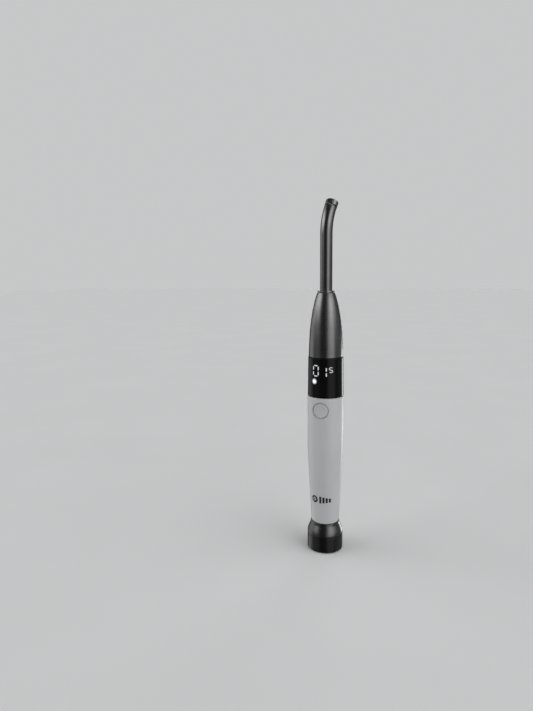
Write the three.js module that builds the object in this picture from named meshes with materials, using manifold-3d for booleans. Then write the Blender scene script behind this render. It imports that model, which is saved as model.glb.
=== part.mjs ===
// Pen-style cordless dental curing light, standing in its charging dock.
// Millimetres, +Z up. The origin is the centre of the dock's foot, on the table.
// The button and the timer display face -Y, and the dock's charging port faces +Y.
import * as THREE from "three";
import { mergeVertices } from "three/addons/utils/BufferGeometryUtils.js";
import Module from "manifold-3d";

const wasm = await Module();
wasm.setup();

// Driving dimensions
const GAP = 0.3; // clearance between pieces that touch on the real object
const BIG_SIDES = 32; // facets round a casing
const MID_SIDES = 20; // facets round a ring or a plug
const SMALL_SIDES = 12; // facets round a pin or a screw

const DOCK_RADIUS = 12.8;
const DOCK_LIP = 11.8; // top of the dock's upright wall
const DOCK_TOP = 21.15;
const DOCK_NECK = 19.6; // the shoulder ends here and the upright neck begins
const DOCK_NECK_RADIUS = 10.45;
const DOCK_TOP_RADIUS = 10.35;
const DOCK_WALL = 1.2;

// The heights of the handpiece and the light guide are on the handpiece's own scale.
const HANDPIECE_ZERO = -1.75; // where that scale's zero stands when the handpiece is docked
const HANDLE_BOTTOM = DOCK_TOP + GAP - HANDPIECE_ZERO;
const HANDLE_TOP = 116.1;
const HANDLE_BOTTOM_RADIUS = 9.95;
const HANDLE_TAPER_END = 68; // the straight taper ends here and eases into the grip
const HANDLE_TAPER_RADIUS = 12.35;
const HANDLE_GRIP_START = 90;
const HANDLE_GRIP_RADIUS = 12.75;
const HANDLE_TOP_RADIUS = 12.8;
const HANDLE_WALL = 1.6;

const BUTTON_HEIGHT = 107.2;
const BUTTON_RADIUS = 5.3;
const BUTTON_FLANGE_RADIUS = 6.5;

const BAND_BOTTOM = HANDLE_TOP + GAP;
const BAND_TOP = 143.9;
const BAND_BOTTOM_RADIUS = 12.65;
const BAND_TOP_RADIUS = 12.3;

const NOSE_BOTTOM = BAND_TOP + GAP;
const NOSE_TOP = 188.6;
const NOSE_RADIUS = 11.95;
const NOSE_OGIVE_LENGTH = 51.5; // half length of the ellipse that the nose is cut from
const SOCKET_RADIUS = 5.5; // bore that the light guide plugs into

const GUIDE_RADIUS = 4.25;
const GUIDE_BORE_RADIUS = 3.85;
const GUIDE_CORE_RADIUS = 3.55;
const GUIDE_BEND_START = 228;
const GUIDE_BEND_RADIUS = 38;
const GUIDE_BEND_DEG = 29;
const GUIDE_BEND_AZIMUTH_DEG = 18; // the tip leans to +Y, turned this far towards +X
const COLLAR_LENGTH = 3.7;
const COLLAR_RADIUS = 4.4;
const FERRULE_BOTTOM = 170;
const FERRULE_RADIUS = 4.95;
const FERRULE_STEP = 183.2; // below this the ferrule grips the core, above it the tube
const SEAL_HEIGHT = 174.4;

const TAIL_RADIUS = 8.5;
const CONTACT_BOTTOM = 13.75;
const TAIL_BOTTOM = CONTACT_BOTTOM + GAP;
const TAIL_TOP = 34;
const TAIL_FLOOR = 17.3;
const SIDE_PIN_X = 5.3; // the second charging pin meets the tail's contact ring here

const SCREW_CIRCLE = 8.6;
const SCREW_ANGLES_DEG = [-90, 30, 150];

const deg = THREE.MathUtils.degToRad;

// Materials
function finish(color, roughness, metalness) {
  return new THREE.MeshStandardMaterial({ color, roughness, metalness });
}

const GUNMETAL = finish(0x3b3d3c, 0.32, 0.9);
const DARK_METAL = finish(0x1a1b1b, 0.25, 0.8);
const BLACK_CHROME = finish(0x26272a, 0.12, 1);
const GLOSS_BLACK = finish(0x050506, 0.08, 0);
const WHITE_PLASTIC = finish(0xdcdedd, 0.42, 0);
const DARK_PLASTIC = finish(0x1b1c1d, 0.55, 0);
const RUBBER = finish(0x141414, 0.85, 0);
const STEEL = finish(0x9a9c9e, 0.35, 1);
const GOLD = finish(0xc9a54a, 0.28, 1);
const ALUMINIUM = finish(0xb4b6b8, 0.4, 1);
const BOARD = finish(0x1d5a3a, 0.6, 0);
const GLASS = finish(0xd9dde0, 0.05, 0);
const CELL_WRAP = finish(0x2f5f9e, 0.45, 0);
const EMITTER = finish(0xe8d9a0, 0.3, 0);

// Geometry helpers
function closed(geometry) {
  const bare = geometry.index ? geometry.toNonIndexed() : geometry.clone();
  bare.deleteAttribute("normal");
  bare.deleteAttribute("uv");
  const merged = mergeVertices(bare, 1e-4);
  const corners = merged.index.array;
  const kept = [];
  for (let i = 0; i < corners.length; i += 3) {
    const [a, b, c] = [corners[i], corners[i + 1], corners[i + 2]];
    if (a !== b && b !== c && a !== c) kept.push(a, b, c);
  }
  merged.setIndex(kept);
  return merged;
}

function solid(geometry) {
  const merged = closed(geometry);
  const vertProperties = new Float32Array(merged.attributes.position.array);
  const triVerts = new Uint32Array(merged.index.array);
  return new wasm.Manifold(new wasm.Mesh({ numProp: 3, vertProperties, triVerts }));
}

function geometryOf(body) {
  const mesh = body.getMesh();
  const geometry = new THREE.BufferGeometry();
  geometry.setAttribute("position", new THREE.BufferAttribute(mesh.vertProperties, 3));
  geometry.setIndex(new THREE.BufferAttribute(mesh.triVerts, 1));
  return geometry;
}

function cut(base, ...tools) {
  const body = tools.reduce((left, tool) => left.subtract(solid(tool)), solid(base));
  return geometryOf(body);
}

function join(base, ...others) {
  const body = others.reduce((left, other) => left.add(solid(other)), solid(base));
  return geometryOf(body);
}

function common(first, second) {
  return geometryOf(solid(first).intersect(solid(second)));
}

// A profile is a list of [radius, height]: along the bottom, up the outside, in, and down the inside.
// One that starts on the axis ends there; any other is closed into a ring.
function revolve(profile, sides = MID_SIDES) {
  const points = profile.map(([radius, height]) => new THREE.Vector2(radius, height));
  if (profile[0][0] > 0) points.push(points[0].clone());
  return new THREE.LatheGeometry(points, sides).rotateX(Math.PI / 2);
}

function ring(inner, outer, bottom, top, sides = MID_SIDES) {
  return revolve([[inner, bottom], [outer, bottom], [outer, top], [inner, top]], sides);
}

function disc(radius, bottom, top, sides = MID_SIDES) {
  return revolve([[0, bottom], [radius, bottom], [radius, top], [0, top]], sides);
}

function block(x0, x1, y0, y1, z0, z1) {
  const box = new THREE.BoxGeometry(x1 - x0, y1 - y0, z1 - z0);
  return box.translate((x0 + x1) / 2, (y0 + y1) / 2, (z0 + z1) / 2);
}

// A round bar along Y, from y0 to y1, centred on (x, z)
function barAlongY(radius, y0, y1, x, z, sides = MID_SIDES) {
  const bar = new THREE.CylinderGeometry(radius, radius, y1 - y0, sides);
  return bar.translate(x, (y0 + y1) / 2, z);
}

function roundSeal(majorRadius, minorRadius, height) {
  return new THREE.TorusGeometry(majorRadius, minorRadius, 8, MID_SIDES).translate(0, 0, height);
}

const root = new THREE.Group();
const handpiece = new THREE.Group();
handpiece.position.z = HANDPIECE_ZERO;
root.add(handpiece);

function add(name, geometry, material, group = handpiece) {
  const mesh = new THREE.Mesh(geometry, material);
  mesh.name = name;
  group.add(mesh);
  return mesh;
}

// Outlines of the casings
function handleRadius(height) {
  if (height <= HANDLE_TAPER_END) {
    const along = (height - HANDLE_BOTTOM) / (HANDLE_TAPER_END - HANDLE_BOTTOM);
    return THREE.MathUtils.lerp(HANDLE_BOTTOM_RADIUS, HANDLE_TAPER_RADIUS, along);
  }
  if (height <= HANDLE_GRIP_START) {
    const left = (HANDLE_GRIP_START - height) / (HANDLE_GRIP_START - HANDLE_TAPER_END);
    return HANDLE_GRIP_RADIUS - (HANDLE_GRIP_RADIUS - HANDLE_TAPER_RADIUS) * left ** 2.5;
  }
  const along = (height - HANDLE_GRIP_START) / (HANDLE_TOP - HANDLE_GRIP_START);
  return THREE.MathUtils.lerp(HANDLE_GRIP_RADIUS, HANDLE_TOP_RADIUS, along);
}

function noseRadius(height) {
  const along = (height - NOSE_BOTTOM) / NOSE_OGIVE_LENGTH;
  return NOSE_RADIUS * Math.sqrt(1 - along * along);
}

// The dock's shoulder rounds over from the lip and sweeps in to the neck
function dockShoulder(steps) {
  const curve = new THREE.CubicBezierCurve(
    new THREE.Vector2(DOCK_RADIUS, DOCK_LIP + 1.1),
    new THREE.Vector2(DOCK_RADIUS - 0.2, DOCK_LIP + 2.5),
    new THREE.Vector2(DOCK_NECK_RADIUS + 1.15, DOCK_NECK - 3),
    new THREE.Vector2(DOCK_NECK_RADIUS, DOCK_NECK),
  );
  return curve.getPoints(steps).map((point) => [point.x, point.y]);
}

// Dock: shell, collar, cup, board, port, weight, plate, foot and screws
const PORT_FLOOR = 3.7;
const PORT_ROOF = 6.6;
const PORT_HALF_WIDTH = 4.3;
const PORT_BACK = 4.2;
const PORT_FRONT = 12;
const CUP_FLOOR_BOTTOM = 9.4;
const CUP_FLOOR_TOP = 10.9;
const CUP_TOP = 19.4;
const CUP_RADIUS = 9.35;
const SHELL_BOTTOM = 0.6;
const PLATE_BOTTOM = 1.6;
const PLATE_TOP = 2.8;
const FOOT_TOP = 1;
const FOOT_RADIUS = 11;
const WEIGHT_BOTTOM = 3.2;
const WEIGHT_TOP = 6.3;
const DOCK_BOARD_RADIUS = 6.5;
const DOCK_BOARD_BOTTOM = 7.2;
const DOCK_BOARD_TOP = 8.2;
const POST_RADIUS = 1.7; // the cup's three posts, which the screws bite into
const SCREW_BORE_RADIUS = 1.05;
const SCREW_HEAD_RADIUS = 1.7;
const SCREW_HEAD_TOP = 1.95;
const SCREW_SHANK_RADIUS = 0.75;
const SCREW_TOP = 8.9;
const PIN_BARREL_BOTTOM = 8.5;
const PIN_BARREL_TOP = 11.2;
const PIN_BARREL_RADIUS = 1.2;
const PIN_BARREL_BORE = 0.95;
const PIN_RADIUS = 0.65;
const PIN_BOTTOM = 9.3;
const INSIDE_RADIUS = DOCK_RADIUS - DOCK_WALL;

function screwPlaces() {
  return SCREW_ANGLES_DEG.map((angle) => [
    SCREW_CIRCLE * Math.cos(deg(angle)),
    SCREW_CIRCLE * Math.sin(deg(angle)),
  ]);
}

function atScrews(makeTool) {
  return screwPlaces().map(([x, y]) => makeTool().translate(x, y, 0));
}

function dockShell() {
  const top = DOCK_LIP - GAP;
  const shell = revolve([
    [INSIDE_RADIUS, SHELL_BOTTOM],
    [DOCK_RADIUS - 0.2, SHELL_BOTTOM],
    [DOCK_RADIUS, SHELL_BOTTOM + 0.2],
    [DOCK_RADIUS, top - 0.15],
    [DOCK_RADIUS - 0.15, top],
    [INSIDE_RADIUS, top],
  ], BIG_SIDES);
  const portHole = block(
    -PORT_HALF_WIDTH - 0.4, PORT_HALF_WIDTH + 0.4,
    9, DOCK_RADIUS + 2,
    PORT_FLOOR - GAP, PORT_ROOF + GAP,
  );
  return cut(shell, portHole);
}

// The collar plugs into the shell with a spigot, and its mouth guides the handpiece's tail
function dockCollar() {
  const spigot = INSIDE_RADIUS - GAP;
  const mouth = TAIL_RADIUS + 0.4;
  return revolve([
    [spigot - 0.6, CUP_FLOOR_BOTTOM + 1.2],
    [spigot, CUP_FLOOR_BOTTOM + 1.2],
    [spigot, DOCK_LIP],
    [DOCK_RADIUS - 0.15, DOCK_LIP],
    [DOCK_RADIUS, DOCK_LIP + 0.15],
    ...dockShoulder(6),
    [DOCK_TOP_RADIUS, DOCK_TOP - 0.25],
    [DOCK_TOP_RADIUS - 0.25, DOCK_TOP],
    [mouth, DOCK_TOP],
    [mouth, CUP_TOP + GAP],
    [CUP_RADIUS + GAP, CUP_TOP + GAP],
    [spigot - 0.6, DOCK_LIP + 4],
  ], BIG_SIDES);
}

function dockCup() {
  const cup = revolve([
    [0, CUP_FLOOR_BOTTOM],
    [CUP_RADIUS, CUP_FLOOR_BOTTOM],
    [CUP_RADIUS, CUP_TOP],
    [TAIL_RADIUS + GAP, CUP_TOP],
    [TAIL_RADIUS + GAP, CUP_FLOOR_TOP],
    [0, CUP_FLOOR_TOP],
  ], BIG_SIDES);
  const posts = atScrews(() => disc(POST_RADIUS, WEIGHT_TOP + GAP, CUP_FLOOR_BOTTOM + 0.6, SMALL_SIDES));
  const bores = atScrews(() => disc(SCREW_BORE_RADIUS, WEIGHT_TOP, SCREW_TOP + GAP, SMALL_SIDES));
  const pinHoles = [0, SIDE_PIN_X].map((x) => (
    disc(PIN_BARREL_RADIUS + GAP, CUP_FLOOR_BOTTOM - 1, CUP_FLOOR_TOP + 1, SMALL_SIDES).translate(x, 0, 0)
  ));
  return cut(join(cup, ...posts), ...bores, ...pinHoles);
}

function dockWeight() {
  const slug = disc(FOOT_RADIUS, WEIGHT_BOTTOM, WEIGHT_TOP, BIG_SIDES);
  const halfNotch = PORT_HALF_WIDTH + 2 * GAP;
  const notch = block(-halfNotch, halfNotch, PORT_BACK - 2 * GAP, DOCK_RADIUS, 0, 2 * WEIGHT_TOP);
  return cut(slug, notch, ...atScrews(() => disc(SCREW_BORE_RADIUS + 0.1, 0, 2 * WEIGHT_TOP, SMALL_SIDES)));
}

function chargePort() {
  const inside = PORT_HALF_WIDTH - 0.6;
  const middle = (PORT_FLOOR + PORT_ROOF) / 2;
  const can = block(-PORT_HALF_WIDTH, PORT_HALF_WIDTH, PORT_BACK, PORT_FRONT, PORT_FLOOR, PORT_ROOF);
  const mouth = block(-inside, inside, PORT_BACK + 1.3, PORT_FRONT + 1, PORT_FLOOR + 0.5, PORT_ROOF - 0.5);
  const tongue = block(-2.8, 2.8, PORT_BACK + 1, PORT_FRONT - 1, middle - 0.25, middle + 0.25);
  return join(cut(can, mouth), tongue);
}

function bottomPlate() {
  const plate = disc(FOOT_RADIUS, PLATE_BOTTOM, PLATE_TOP, BIG_SIDES);
  const holes = atScrews(() => disc(SCREW_BORE_RADIUS, FOOT_TOP, PLATE_TOP + 1, SMALL_SIDES));
  const sinks = atScrews(() => (
    disc(SCREW_HEAD_RADIUS + 0.25, FOOT_TOP, SCREW_HEAD_TOP + GAP, SMALL_SIDES)
  ));
  return cut(plate, ...holes, ...sinks);
}

function rubberFoot() {
  return revolve([
    [0, 0], [FOOT_RADIUS - 0.3, 0], [FOOT_RADIUS, 0.3], [FOOT_RADIUS, FOOT_TOP], [0, FOOT_TOP],
  ], BIG_SIDES);
}

function dockScrew() {
  const bottom = FOOT_TOP + GAP;
  return revolve([
    [0, bottom], [SCREW_HEAD_RADIUS, bottom], [SCREW_HEAD_RADIUS, SCREW_HEAD_TOP],
    [SCREW_SHANK_RADIUS, SCREW_HEAD_TOP], [SCREW_SHANK_RADIUS, SCREW_TOP - 0.3],
    [SCREW_SHANK_RADIUS - 0.35, SCREW_TOP], [0, SCREW_TOP],
  ], SMALL_SIDES);
}

// The plunger of a spring pin stands just under the contact that it meets
function chargePin() {
  const top = CONTACT_BOTTOM + HANDPIECE_ZERO - GAP;
  return revolve([
    [0, PIN_BOTTOM], [PIN_RADIUS, PIN_BOTTOM], [PIN_RADIUS, top - 0.35], [PIN_RADIUS - 0.3, top], [0, top],
  ], SMALL_SIDES);
}

function pinBarrel() {
  return ring(PIN_BARREL_BORE, PIN_BARREL_RADIUS, PIN_BARREL_BOTTOM, PIN_BARREL_TOP, SMALL_SIDES);
}

function addDock() {
  add("dock_shell", dockShell(), DARK_METAL, root);
  add("dock_collar", dockCollar(), GUNMETAL, root);
  add("dock_cup", dockCup(), DARK_PLASTIC, root);
  add("dock_board", disc(DOCK_BOARD_RADIUS, DOCK_BOARD_BOTTOM, DOCK_BOARD_TOP), BOARD, root);
  add("charge_port", chargePort(), STEEL, root);
  add("dock_weight", dockWeight(), STEEL, root);
  add("bottom_plate", bottomPlate(), DARK_PLASTIC, root);
  add("rubber_foot", rubberFoot(), RUBBER, root);
  screwPlaces().forEach(([x, y], index) => {
    add(`dock_screw_${index + 1}`, dockScrew(), STEEL, root).position.set(x, y, 0);
  });
  for (const [place, x] of [["centre", 0], ["side", SIDE_PIN_X]]) {
    add(`pin_barrel_${place}`, pinBarrel(), GOLD, root).position.x = x;
    add(`charge_pin_${place}`, chargePin(), GOLD, root).position.x = x;
  }
}

// Handle: shell, button, switch, tail and what they hold
const TAIL_BORE_TOP = 36;
const CAVITY_BOTTOM = 50;
const BUTTON_CAP_INSIDE = 10.4; // radii of the button's curved faces, about the handle's axis
const BUTTON_FLANGE_INSIDE = 9.9;
const BUTTON_FLANGE_OUTSIDE = 10.8;
const CUT_FRONT = -16; // a cut from the front starts outside the casing and stops inside it
const CUT_BACK = -4;

function handleShell() {
  const tailBore = TAIL_RADIUS + GAP;
  const outerHeights = [HANDLE_BOTTOM + 0.8, HANDLE_TAPER_END, 73, 79, HANDLE_GRIP_START];
  const outer = outerHeights.map((height) => [handleRadius(height), height]);
  const inner = [HANDLE_GRIP_START, 79, 73, HANDLE_TAPER_END, CAVITY_BOTTOM].map((height) => [
    handleRadius(height) - HANDLE_WALL,
    height,
  ]);
  const shell = revolve([
    [tailBore, HANDLE_BOTTOM],
    [HANDLE_BOTTOM_RADIUS - 0.25, HANDLE_BOTTOM],
    ...outer,
    [HANDLE_TOP_RADIUS, HANDLE_TOP],
    [HANDLE_TOP_RADIUS - HANDLE_WALL, HANDLE_TOP],
    ...inner,
    [tailBore, TAIL_BORE_TOP],
  ], BIG_SIDES);
  return cut(shell, barAlongY(BUTTON_RADIUS + GAP, CUT_FRONT, CUT_BACK, 0, BUTTON_HEIGHT));
}

// A round cap that follows the handle's curve, on a wider flange that keeps it in the shell
function powerButton() {
  const reach = BUTTON_FLANGE_RADIUS + 1;
  const low = BUTTON_HEIGHT - reach;
  const high = BUTTON_HEIGHT + reach;
  const outside = handleRadius(BUTTON_HEIGHT);
  const cap = common(
    barAlongY(BUTTON_RADIUS, CUT_FRONT, CUT_BACK, 0, BUTTON_HEIGHT),
    ring(BUTTON_CAP_INSIDE, outside, low, high, 2 * BIG_SIDES),
  );
  const flange = common(
    barAlongY(BUTTON_FLANGE_RADIUS, CUT_FRONT, CUT_BACK, 0, BUTTON_HEIGHT),
    ring(BUTTON_FLANGE_INSIDE, BUTTON_FLANGE_OUTSIDE, low, high, 2 * BIG_SIDES),
  );
  return join(cap, flange);
}

const BOARD_FRONT = -5.8;
const BOARD_BACK = -4.6;
const SWITCH_FRONT = -8.6;
const SWITCH_HALF = 3;
const PLUNGER_FRONT = -9.6;
const PLUNGER_BACK = -7.5;
const PLUNGER_RADIUS = 1.6;

function switchBody() {
  const body = block(
    -SWITCH_HALF, SWITCH_HALF,
    SWITCH_FRONT, BOARD_FRONT - GAP,
    BUTTON_HEIGHT - SWITCH_HALF, BUTTON_HEIGHT + SWITCH_HALF,
  );
  const bore = barAlongY(
    PLUNGER_RADIUS + GAP, CUT_FRONT, PLUNGER_BACK + 0.9, 0, BUTTON_HEIGHT, SMALL_SIDES,
  );
  return cut(body, bore);
}

function switchPlunger() {
  return barAlongY(PLUNGER_RADIUS, PLUNGER_FRONT, PLUNGER_BACK, 0, BUTTON_HEIGHT, SMALL_SIDES);
}

const CELL_RADIUS = 7;
const CELL_BOTTOM = 60;
const CELL_TOP = 108.5;
const CELL_Y = 2.75;
const CHASSIS_BOTTOM = 50;
const CHASSIS_TOP = 114;
const CHASSIS_PLATE = 3; // thickness of the chassis's end plates
const SPRING_PLATE_TOP = 54;

function batteryCell() {
  const nub = 2.7;
  const cell = revolve([
    [0, CELL_BOTTOM],
    [CELL_RADIUS - 0.4, CELL_BOTTOM],
    [CELL_RADIUS, CELL_BOTTOM + 0.4],
    [CELL_RADIUS, CELL_TOP - 0.4],
    [CELL_RADIUS - 0.4, CELL_TOP],
    [nub, CELL_TOP],
    [nub, CELL_TOP + 1.1],
    [0, CELL_TOP + 1.1],
  ]);
  return cell.translate(0, CELL_Y, 0);
}

class SpringCurve extends THREE.Curve {
  constructor(turns, bottomRadius, topRadius, bottom, top) {
    super();
    Object.assign(this, { turns, bottomRadius, topRadius, bottom, top });
  }

  getPoint(t, target = new THREE.Vector3()) {
    const radius = THREE.MathUtils.lerp(this.bottomRadius, this.topRadius, t);
    const angle = 2 * Math.PI * this.turns * t;
    const height = THREE.MathUtils.lerp(this.bottom, this.top, t);
    return target.set(radius * Math.cos(angle), radius * Math.sin(angle), height);
  }
}

function sweep(section, path, steps) {
  return new THREE.ExtrudeGeometry(section, { steps, bevelEnabled: false, extrudePath: path });
}

function circleShape(radius, sides) {
  const points = [];
  for (let i = 0; i < sides; i += 1) {
    const angle = (2 * Math.PI * i) / sides;
    points.push(new THREE.Vector2(radius * Math.cos(angle), radius * Math.sin(angle)));
  }
  return new THREE.Shape(points);
}

function batterySpring() {
  const wire = 0.35;
  const turns = 3;
  const path = new SpringCurve(turns, 4.8, 3, SPRING_PLATE_TOP + 2 * wire, CELL_BOTTOM - GAP - wire);
  return sweep(circleShape(wire, 5), path, 14 * turns).translate(0, CELL_Y, 0);
}

// An open frame: two end plates joined by a rail down each side of the cell
function chassis() {
  const lowPlate = disc(9.4, CHASSIS_BOTTOM, CHASSIS_BOTTOM + CHASSIS_PLATE);
  const highPlate = disc(10.2, CHASSIS_TOP - CHASSIS_PLATE, CHASSIS_TOP);
  const railIn = CELL_RADIUS + 2 * GAP;
  const railOut = 9;
  const rails = [[-railOut, -railIn], [railIn, railOut]].map(([x0, x1]) => (
    block(x0, x1, -3, 3, CHASSIS_BOTTOM + 0.5, CHASSIS_TOP - 0.5)
  ));
  const boardSlot = block(-12, 12, CUT_FRONT, BOARD_BACK + GAP, SPRING_PLATE_TOP, CHASSIS_TOP + 6);
  const wireHole = disc(2, CHASSIS_BOTTOM - 2, CHASSIS_TOP + 6, SMALL_SIDES);
  return cut(join(lowPlate, highPlate, ...rails), boardSlot, wireHole);
}

const TAIL_GROOVE_BOTTOM = 27;
const TAIL_GROOVE_TOP = 29.4;
const TAIL_GROOVE_RADIUS = 7.6;
const TAIL_BORE = 6.6;
const CONTACT_PIN_RADIUS = 1.6;
const CONTACT_RING_INSIDE = 4.2;
const CONTACT_RING_OUTSIDE = 6.4;
const CONTACT_RING_HEIGHT = 1.2;

function tailPlug() {
  const seat = CONTACT_BOTTOM + CONTACT_RING_HEIGHT + GAP; // the contact ring lies in a groove this high
  const pinBore = CONTACT_PIN_RADIUS + GAP;
  const grooveInside = CONTACT_RING_INSIDE - GAP;
  const grooveOutside = CONTACT_RING_OUTSIDE + GAP;
  return revolve([
    [pinBore, TAIL_BOTTOM],
    [grooveInside, TAIL_BOTTOM], [grooveInside, seat],
    [grooveOutside, seat], [grooveOutside, TAIL_BOTTOM],
    [TAIL_RADIUS - 0.3, TAIL_BOTTOM],
    [TAIL_RADIUS, TAIL_BOTTOM + 0.3],
    [TAIL_RADIUS, TAIL_GROOVE_BOTTOM], [TAIL_GROOVE_RADIUS, TAIL_GROOVE_BOTTOM],
    [TAIL_GROOVE_RADIUS, TAIL_GROOVE_TOP], [TAIL_RADIUS, TAIL_GROOVE_TOP],
    [TAIL_RADIUS, TAIL_TOP], [TAIL_BORE, TAIL_TOP],
    [TAIL_BORE, TAIL_FLOOR], [pinBore, TAIL_FLOOR],
  ]);
}

function contactRing() {
  const top = CONTACT_BOTTOM + CONTACT_RING_HEIGHT;
  return ring(CONTACT_RING_INSIDE, CONTACT_RING_OUTSIDE, CONTACT_BOTTOM, top);
}

// Circuit boards and flat parts of the handle: [x0, x1, y0, y1, z0, z1]
const MAIN_BOARD = [-7.2, 7.2, BOARD_FRONT, BOARD_BACK, 56, 114];
const CONTROL_CHIP = [-2.5, 2.5, -7, BOARD_FRONT - GAP, 80, 85];
const CELL_CONTACT = [-4.5, 4.5, CELL_Y - 3, CELL_Y + 3, CELL_TOP + 1.4, CELL_TOP + 2.1];
const BUZZER_RADIUS = 4.5;
const BUZZER_FRONT = -9.3;
const BUZZER_HEIGHT = 68;
const SEAL_WIRE = 0.42;

function addHandle() {
  add("handle_shell", handleShell(), WHITE_PLASTIC);
  add("power_button", powerButton(), WHITE_PLASTIC);
  add("switch_body", switchBody(), DARK_PLASTIC);
  add("switch_plunger", switchPlunger(), WHITE_PLASTIC);
  add("main_board", block(...MAIN_BOARD), BOARD);
  add("control_chip", block(...CONTROL_CHIP), DARK_PLASTIC);
  const buzzer = barAlongY(BUZZER_RADIUS, BUZZER_FRONT, BOARD_FRONT - GAP, 0, BUZZER_HEIGHT);
  add("buzzer", buzzer, DARK_PLASTIC);
  add("chassis", chassis(), DARK_PLASTIC);
  add("battery_cell", batteryCell(), CELL_WRAP);
  add("battery_spring", batterySpring(), STEEL);
  const springPlate = disc(5.6, SPRING_PLATE_TOP - 0.7, SPRING_PLATE_TOP, SMALL_SIDES);
  add("battery_plate", springPlate.translate(0, CELL_Y, 0), STEEL);
  add("battery_contact", block(...CELL_CONTACT), STEEL);
  add("tail_plug", tailPlug(), DARK_PLASTIC);
  const seal = roundSeal(8.2, SEAL_WIRE, (TAIL_GROOVE_BOTTOM + TAIL_GROOVE_TOP) / 2);
  add("tail_o_ring", seal, RUBBER);
  add("contact_ring", contactRing(), GOLD);
  const contactPin = disc(CONTACT_PIN_RADIUS, CONTACT_BOTTOM, TAIL_FLOOR + 0.7, SMALL_SIDES);
  add("contact_pin", contactPin, GOLD);
}

// Display: a smoked band round the body, with the timer module behind its front
const FRAME_INSIDE = 9.9;
const FRAME_OUTSIDE = 10.7;
const FRAME_TOP = 141.2;
const MODULE_FRONT = -8.6;
const MODULE_BACK = -5.8;
const FRAME_WINDOW = [-6.6, 8.6, CUT_FRONT, CUT_BACK + 1, 125, 143]; // blocks: [x0, x1, y0, y1, z0, z1]
const DISPLAY_BOARD = [-7.8, 7.8, MODULE_BACK + GAP, -4.3, 118, 141];
const DISPLAY_MODULE = [-4.2, 6.2, MODULE_FRONT, MODULE_BACK, 129.8, 141.2];
const MODE_LAMP = [-3.8, -1.8, MODULE_FRONT + 0.2, MODULE_BACK, 127, 129];

function displayFrame() {
  const frame = ring(FRAME_INSIDE, FRAME_OUTSIDE, BAND_BOTTOM + 0.4, FRAME_TOP, BIG_SIDES);
  return cut(frame, block(...FRAME_WINDOW));
}

function displayWindow() {
  const foot = 11.25; // inside radii at the band's bottom and top
  const head = 11;
  return revolve([
    [foot, BAND_BOTTOM],
    [BAND_BOTTOM_RADIUS - 0.1, BAND_BOTTOM],
    [BAND_BOTTOM_RADIUS, BAND_BOTTOM + 0.2],
    [BAND_TOP_RADIUS, BAND_TOP - 0.2],
    [BAND_TOP_RADIUS - 0.15, BAND_TOP],
    [head, BAND_TOP],
  ], BIG_SIDES);
}

function addDisplay() {
  add("display_window", displayWindow(), GLOSS_BLACK);
  add("display_frame", displayFrame(), DARK_PLASTIC);
  add("display_board", block(...DISPLAY_BOARD), BOARD);
  add("display_module", block(...DISPLAY_MODULE), GLOSS_BLACK);
  add("mode_lamp", block(...MODE_LAMP), GLASS);
}

// Nose: casing, heat sink, emitter, optics and the socket for the light guide
const SINK_BOTTOM = 142;
const SINK_TOP = 154.1;
const SINK_RADIUS = 9.2;
const SINK_CORE = 5;
const FIN = 1.2; // thickness of a fin
const FIN_PITCH = 3;
const LED_BOARD_BOTTOM = SINK_TOP + GAP;
const LED_BOARD_TOP = LED_BOARD_BOTTOM + 1.2;
const LED_BOARD_RADIUS = 9;
const LED_HALF = 1.7;
const DOME_RADIUS = 1.4;
const DOME_BASE = LED_BOARD_TOP + GAP + 0.6;
const HOLDER_BOTTOM = LED_BOARD_TOP + 1.2;
const HOLDER_TOP = 163.8;
const SOCKET_BOTTOM = 166.4;
const SOCKET_TOP = 183.7;
const SOCKET_FLANGE = 8.2;

function noseShell() {
  const ogive = [];
  const steps = 10;
  for (let i = 0; i <= steps; i += 1) {
    const along = Math.sin((i / steps) * (Math.PI / 2)) * (NOSE_TOP - 0.3 - NOSE_BOTTOM);
    ogive.push([noseRadius(NOSE_BOTTOM + along), NOSE_BOTTOM + along]);
  }
  const spigot = 10.6;
  const cavity = 9.5;
  return revolve([
    [cavity, BAND_TOP - 2.4],
    [spigot, BAND_TOP - 2.4],
    [spigot, NOSE_BOTTOM],
    ...ogive,
    [noseRadius(NOSE_TOP) - 0.2, NOSE_TOP],
    [SOCKET_RADIUS, NOSE_TOP],
    [SOCKET_RADIUS, SOCKET_TOP + GAP],
    [SOCKET_RADIUS + 0.9, SOCKET_TOP + GAP],
    [7.6, 178],
    [cavity, 164],
  ], BIG_SIDES);
}

function guideSocket() {
  const window = 4.2; // radius of the opening that the light passes through
  const outside = SOCKET_RADIUS + 0.6;
  const flangeTop = SOCKET_BOTTOM + 1.8;
  const floorTop = SOCKET_BOTTOM + 3;
  return revolve([
    [window, SOCKET_BOTTOM], [SOCKET_FLANGE, SOCKET_BOTTOM], [SOCKET_FLANGE, flangeTop],
    [outside, flangeTop], [outside, SOCKET_TOP],
    [SOCKET_RADIUS, SOCKET_TOP], [SOCKET_RADIUS, floorTop], [window, floorTop],
  ]);
}

function collimatorLens() {
  return revolve([
    [0, 159.8], [1.9, 159.2], [2.1, 157.6], [2.9, 157.6], [5.4, 160.3],
    [7.2, 163.6], [7.2, 165.4], [4.5, 165.9], [0, 166.1],
  ]);
}

function ledEmitter() {
  const bottom = LED_BOARD_TOP + GAP;
  const base = block(-LED_HALF, LED_HALF, -LED_HALF, LED_HALF, bottom, bottom + 0.7);
  const dome = new THREE.SphereGeometry(DOME_RADIUS, SMALL_SIDES, 8).translate(0, 0, DOME_BASE);
  const belowBase = block(-3, 3, -3, 3, bottom - 2, bottom + 0.1);
  return join(base, cut(dome, belowBase));
}

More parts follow.
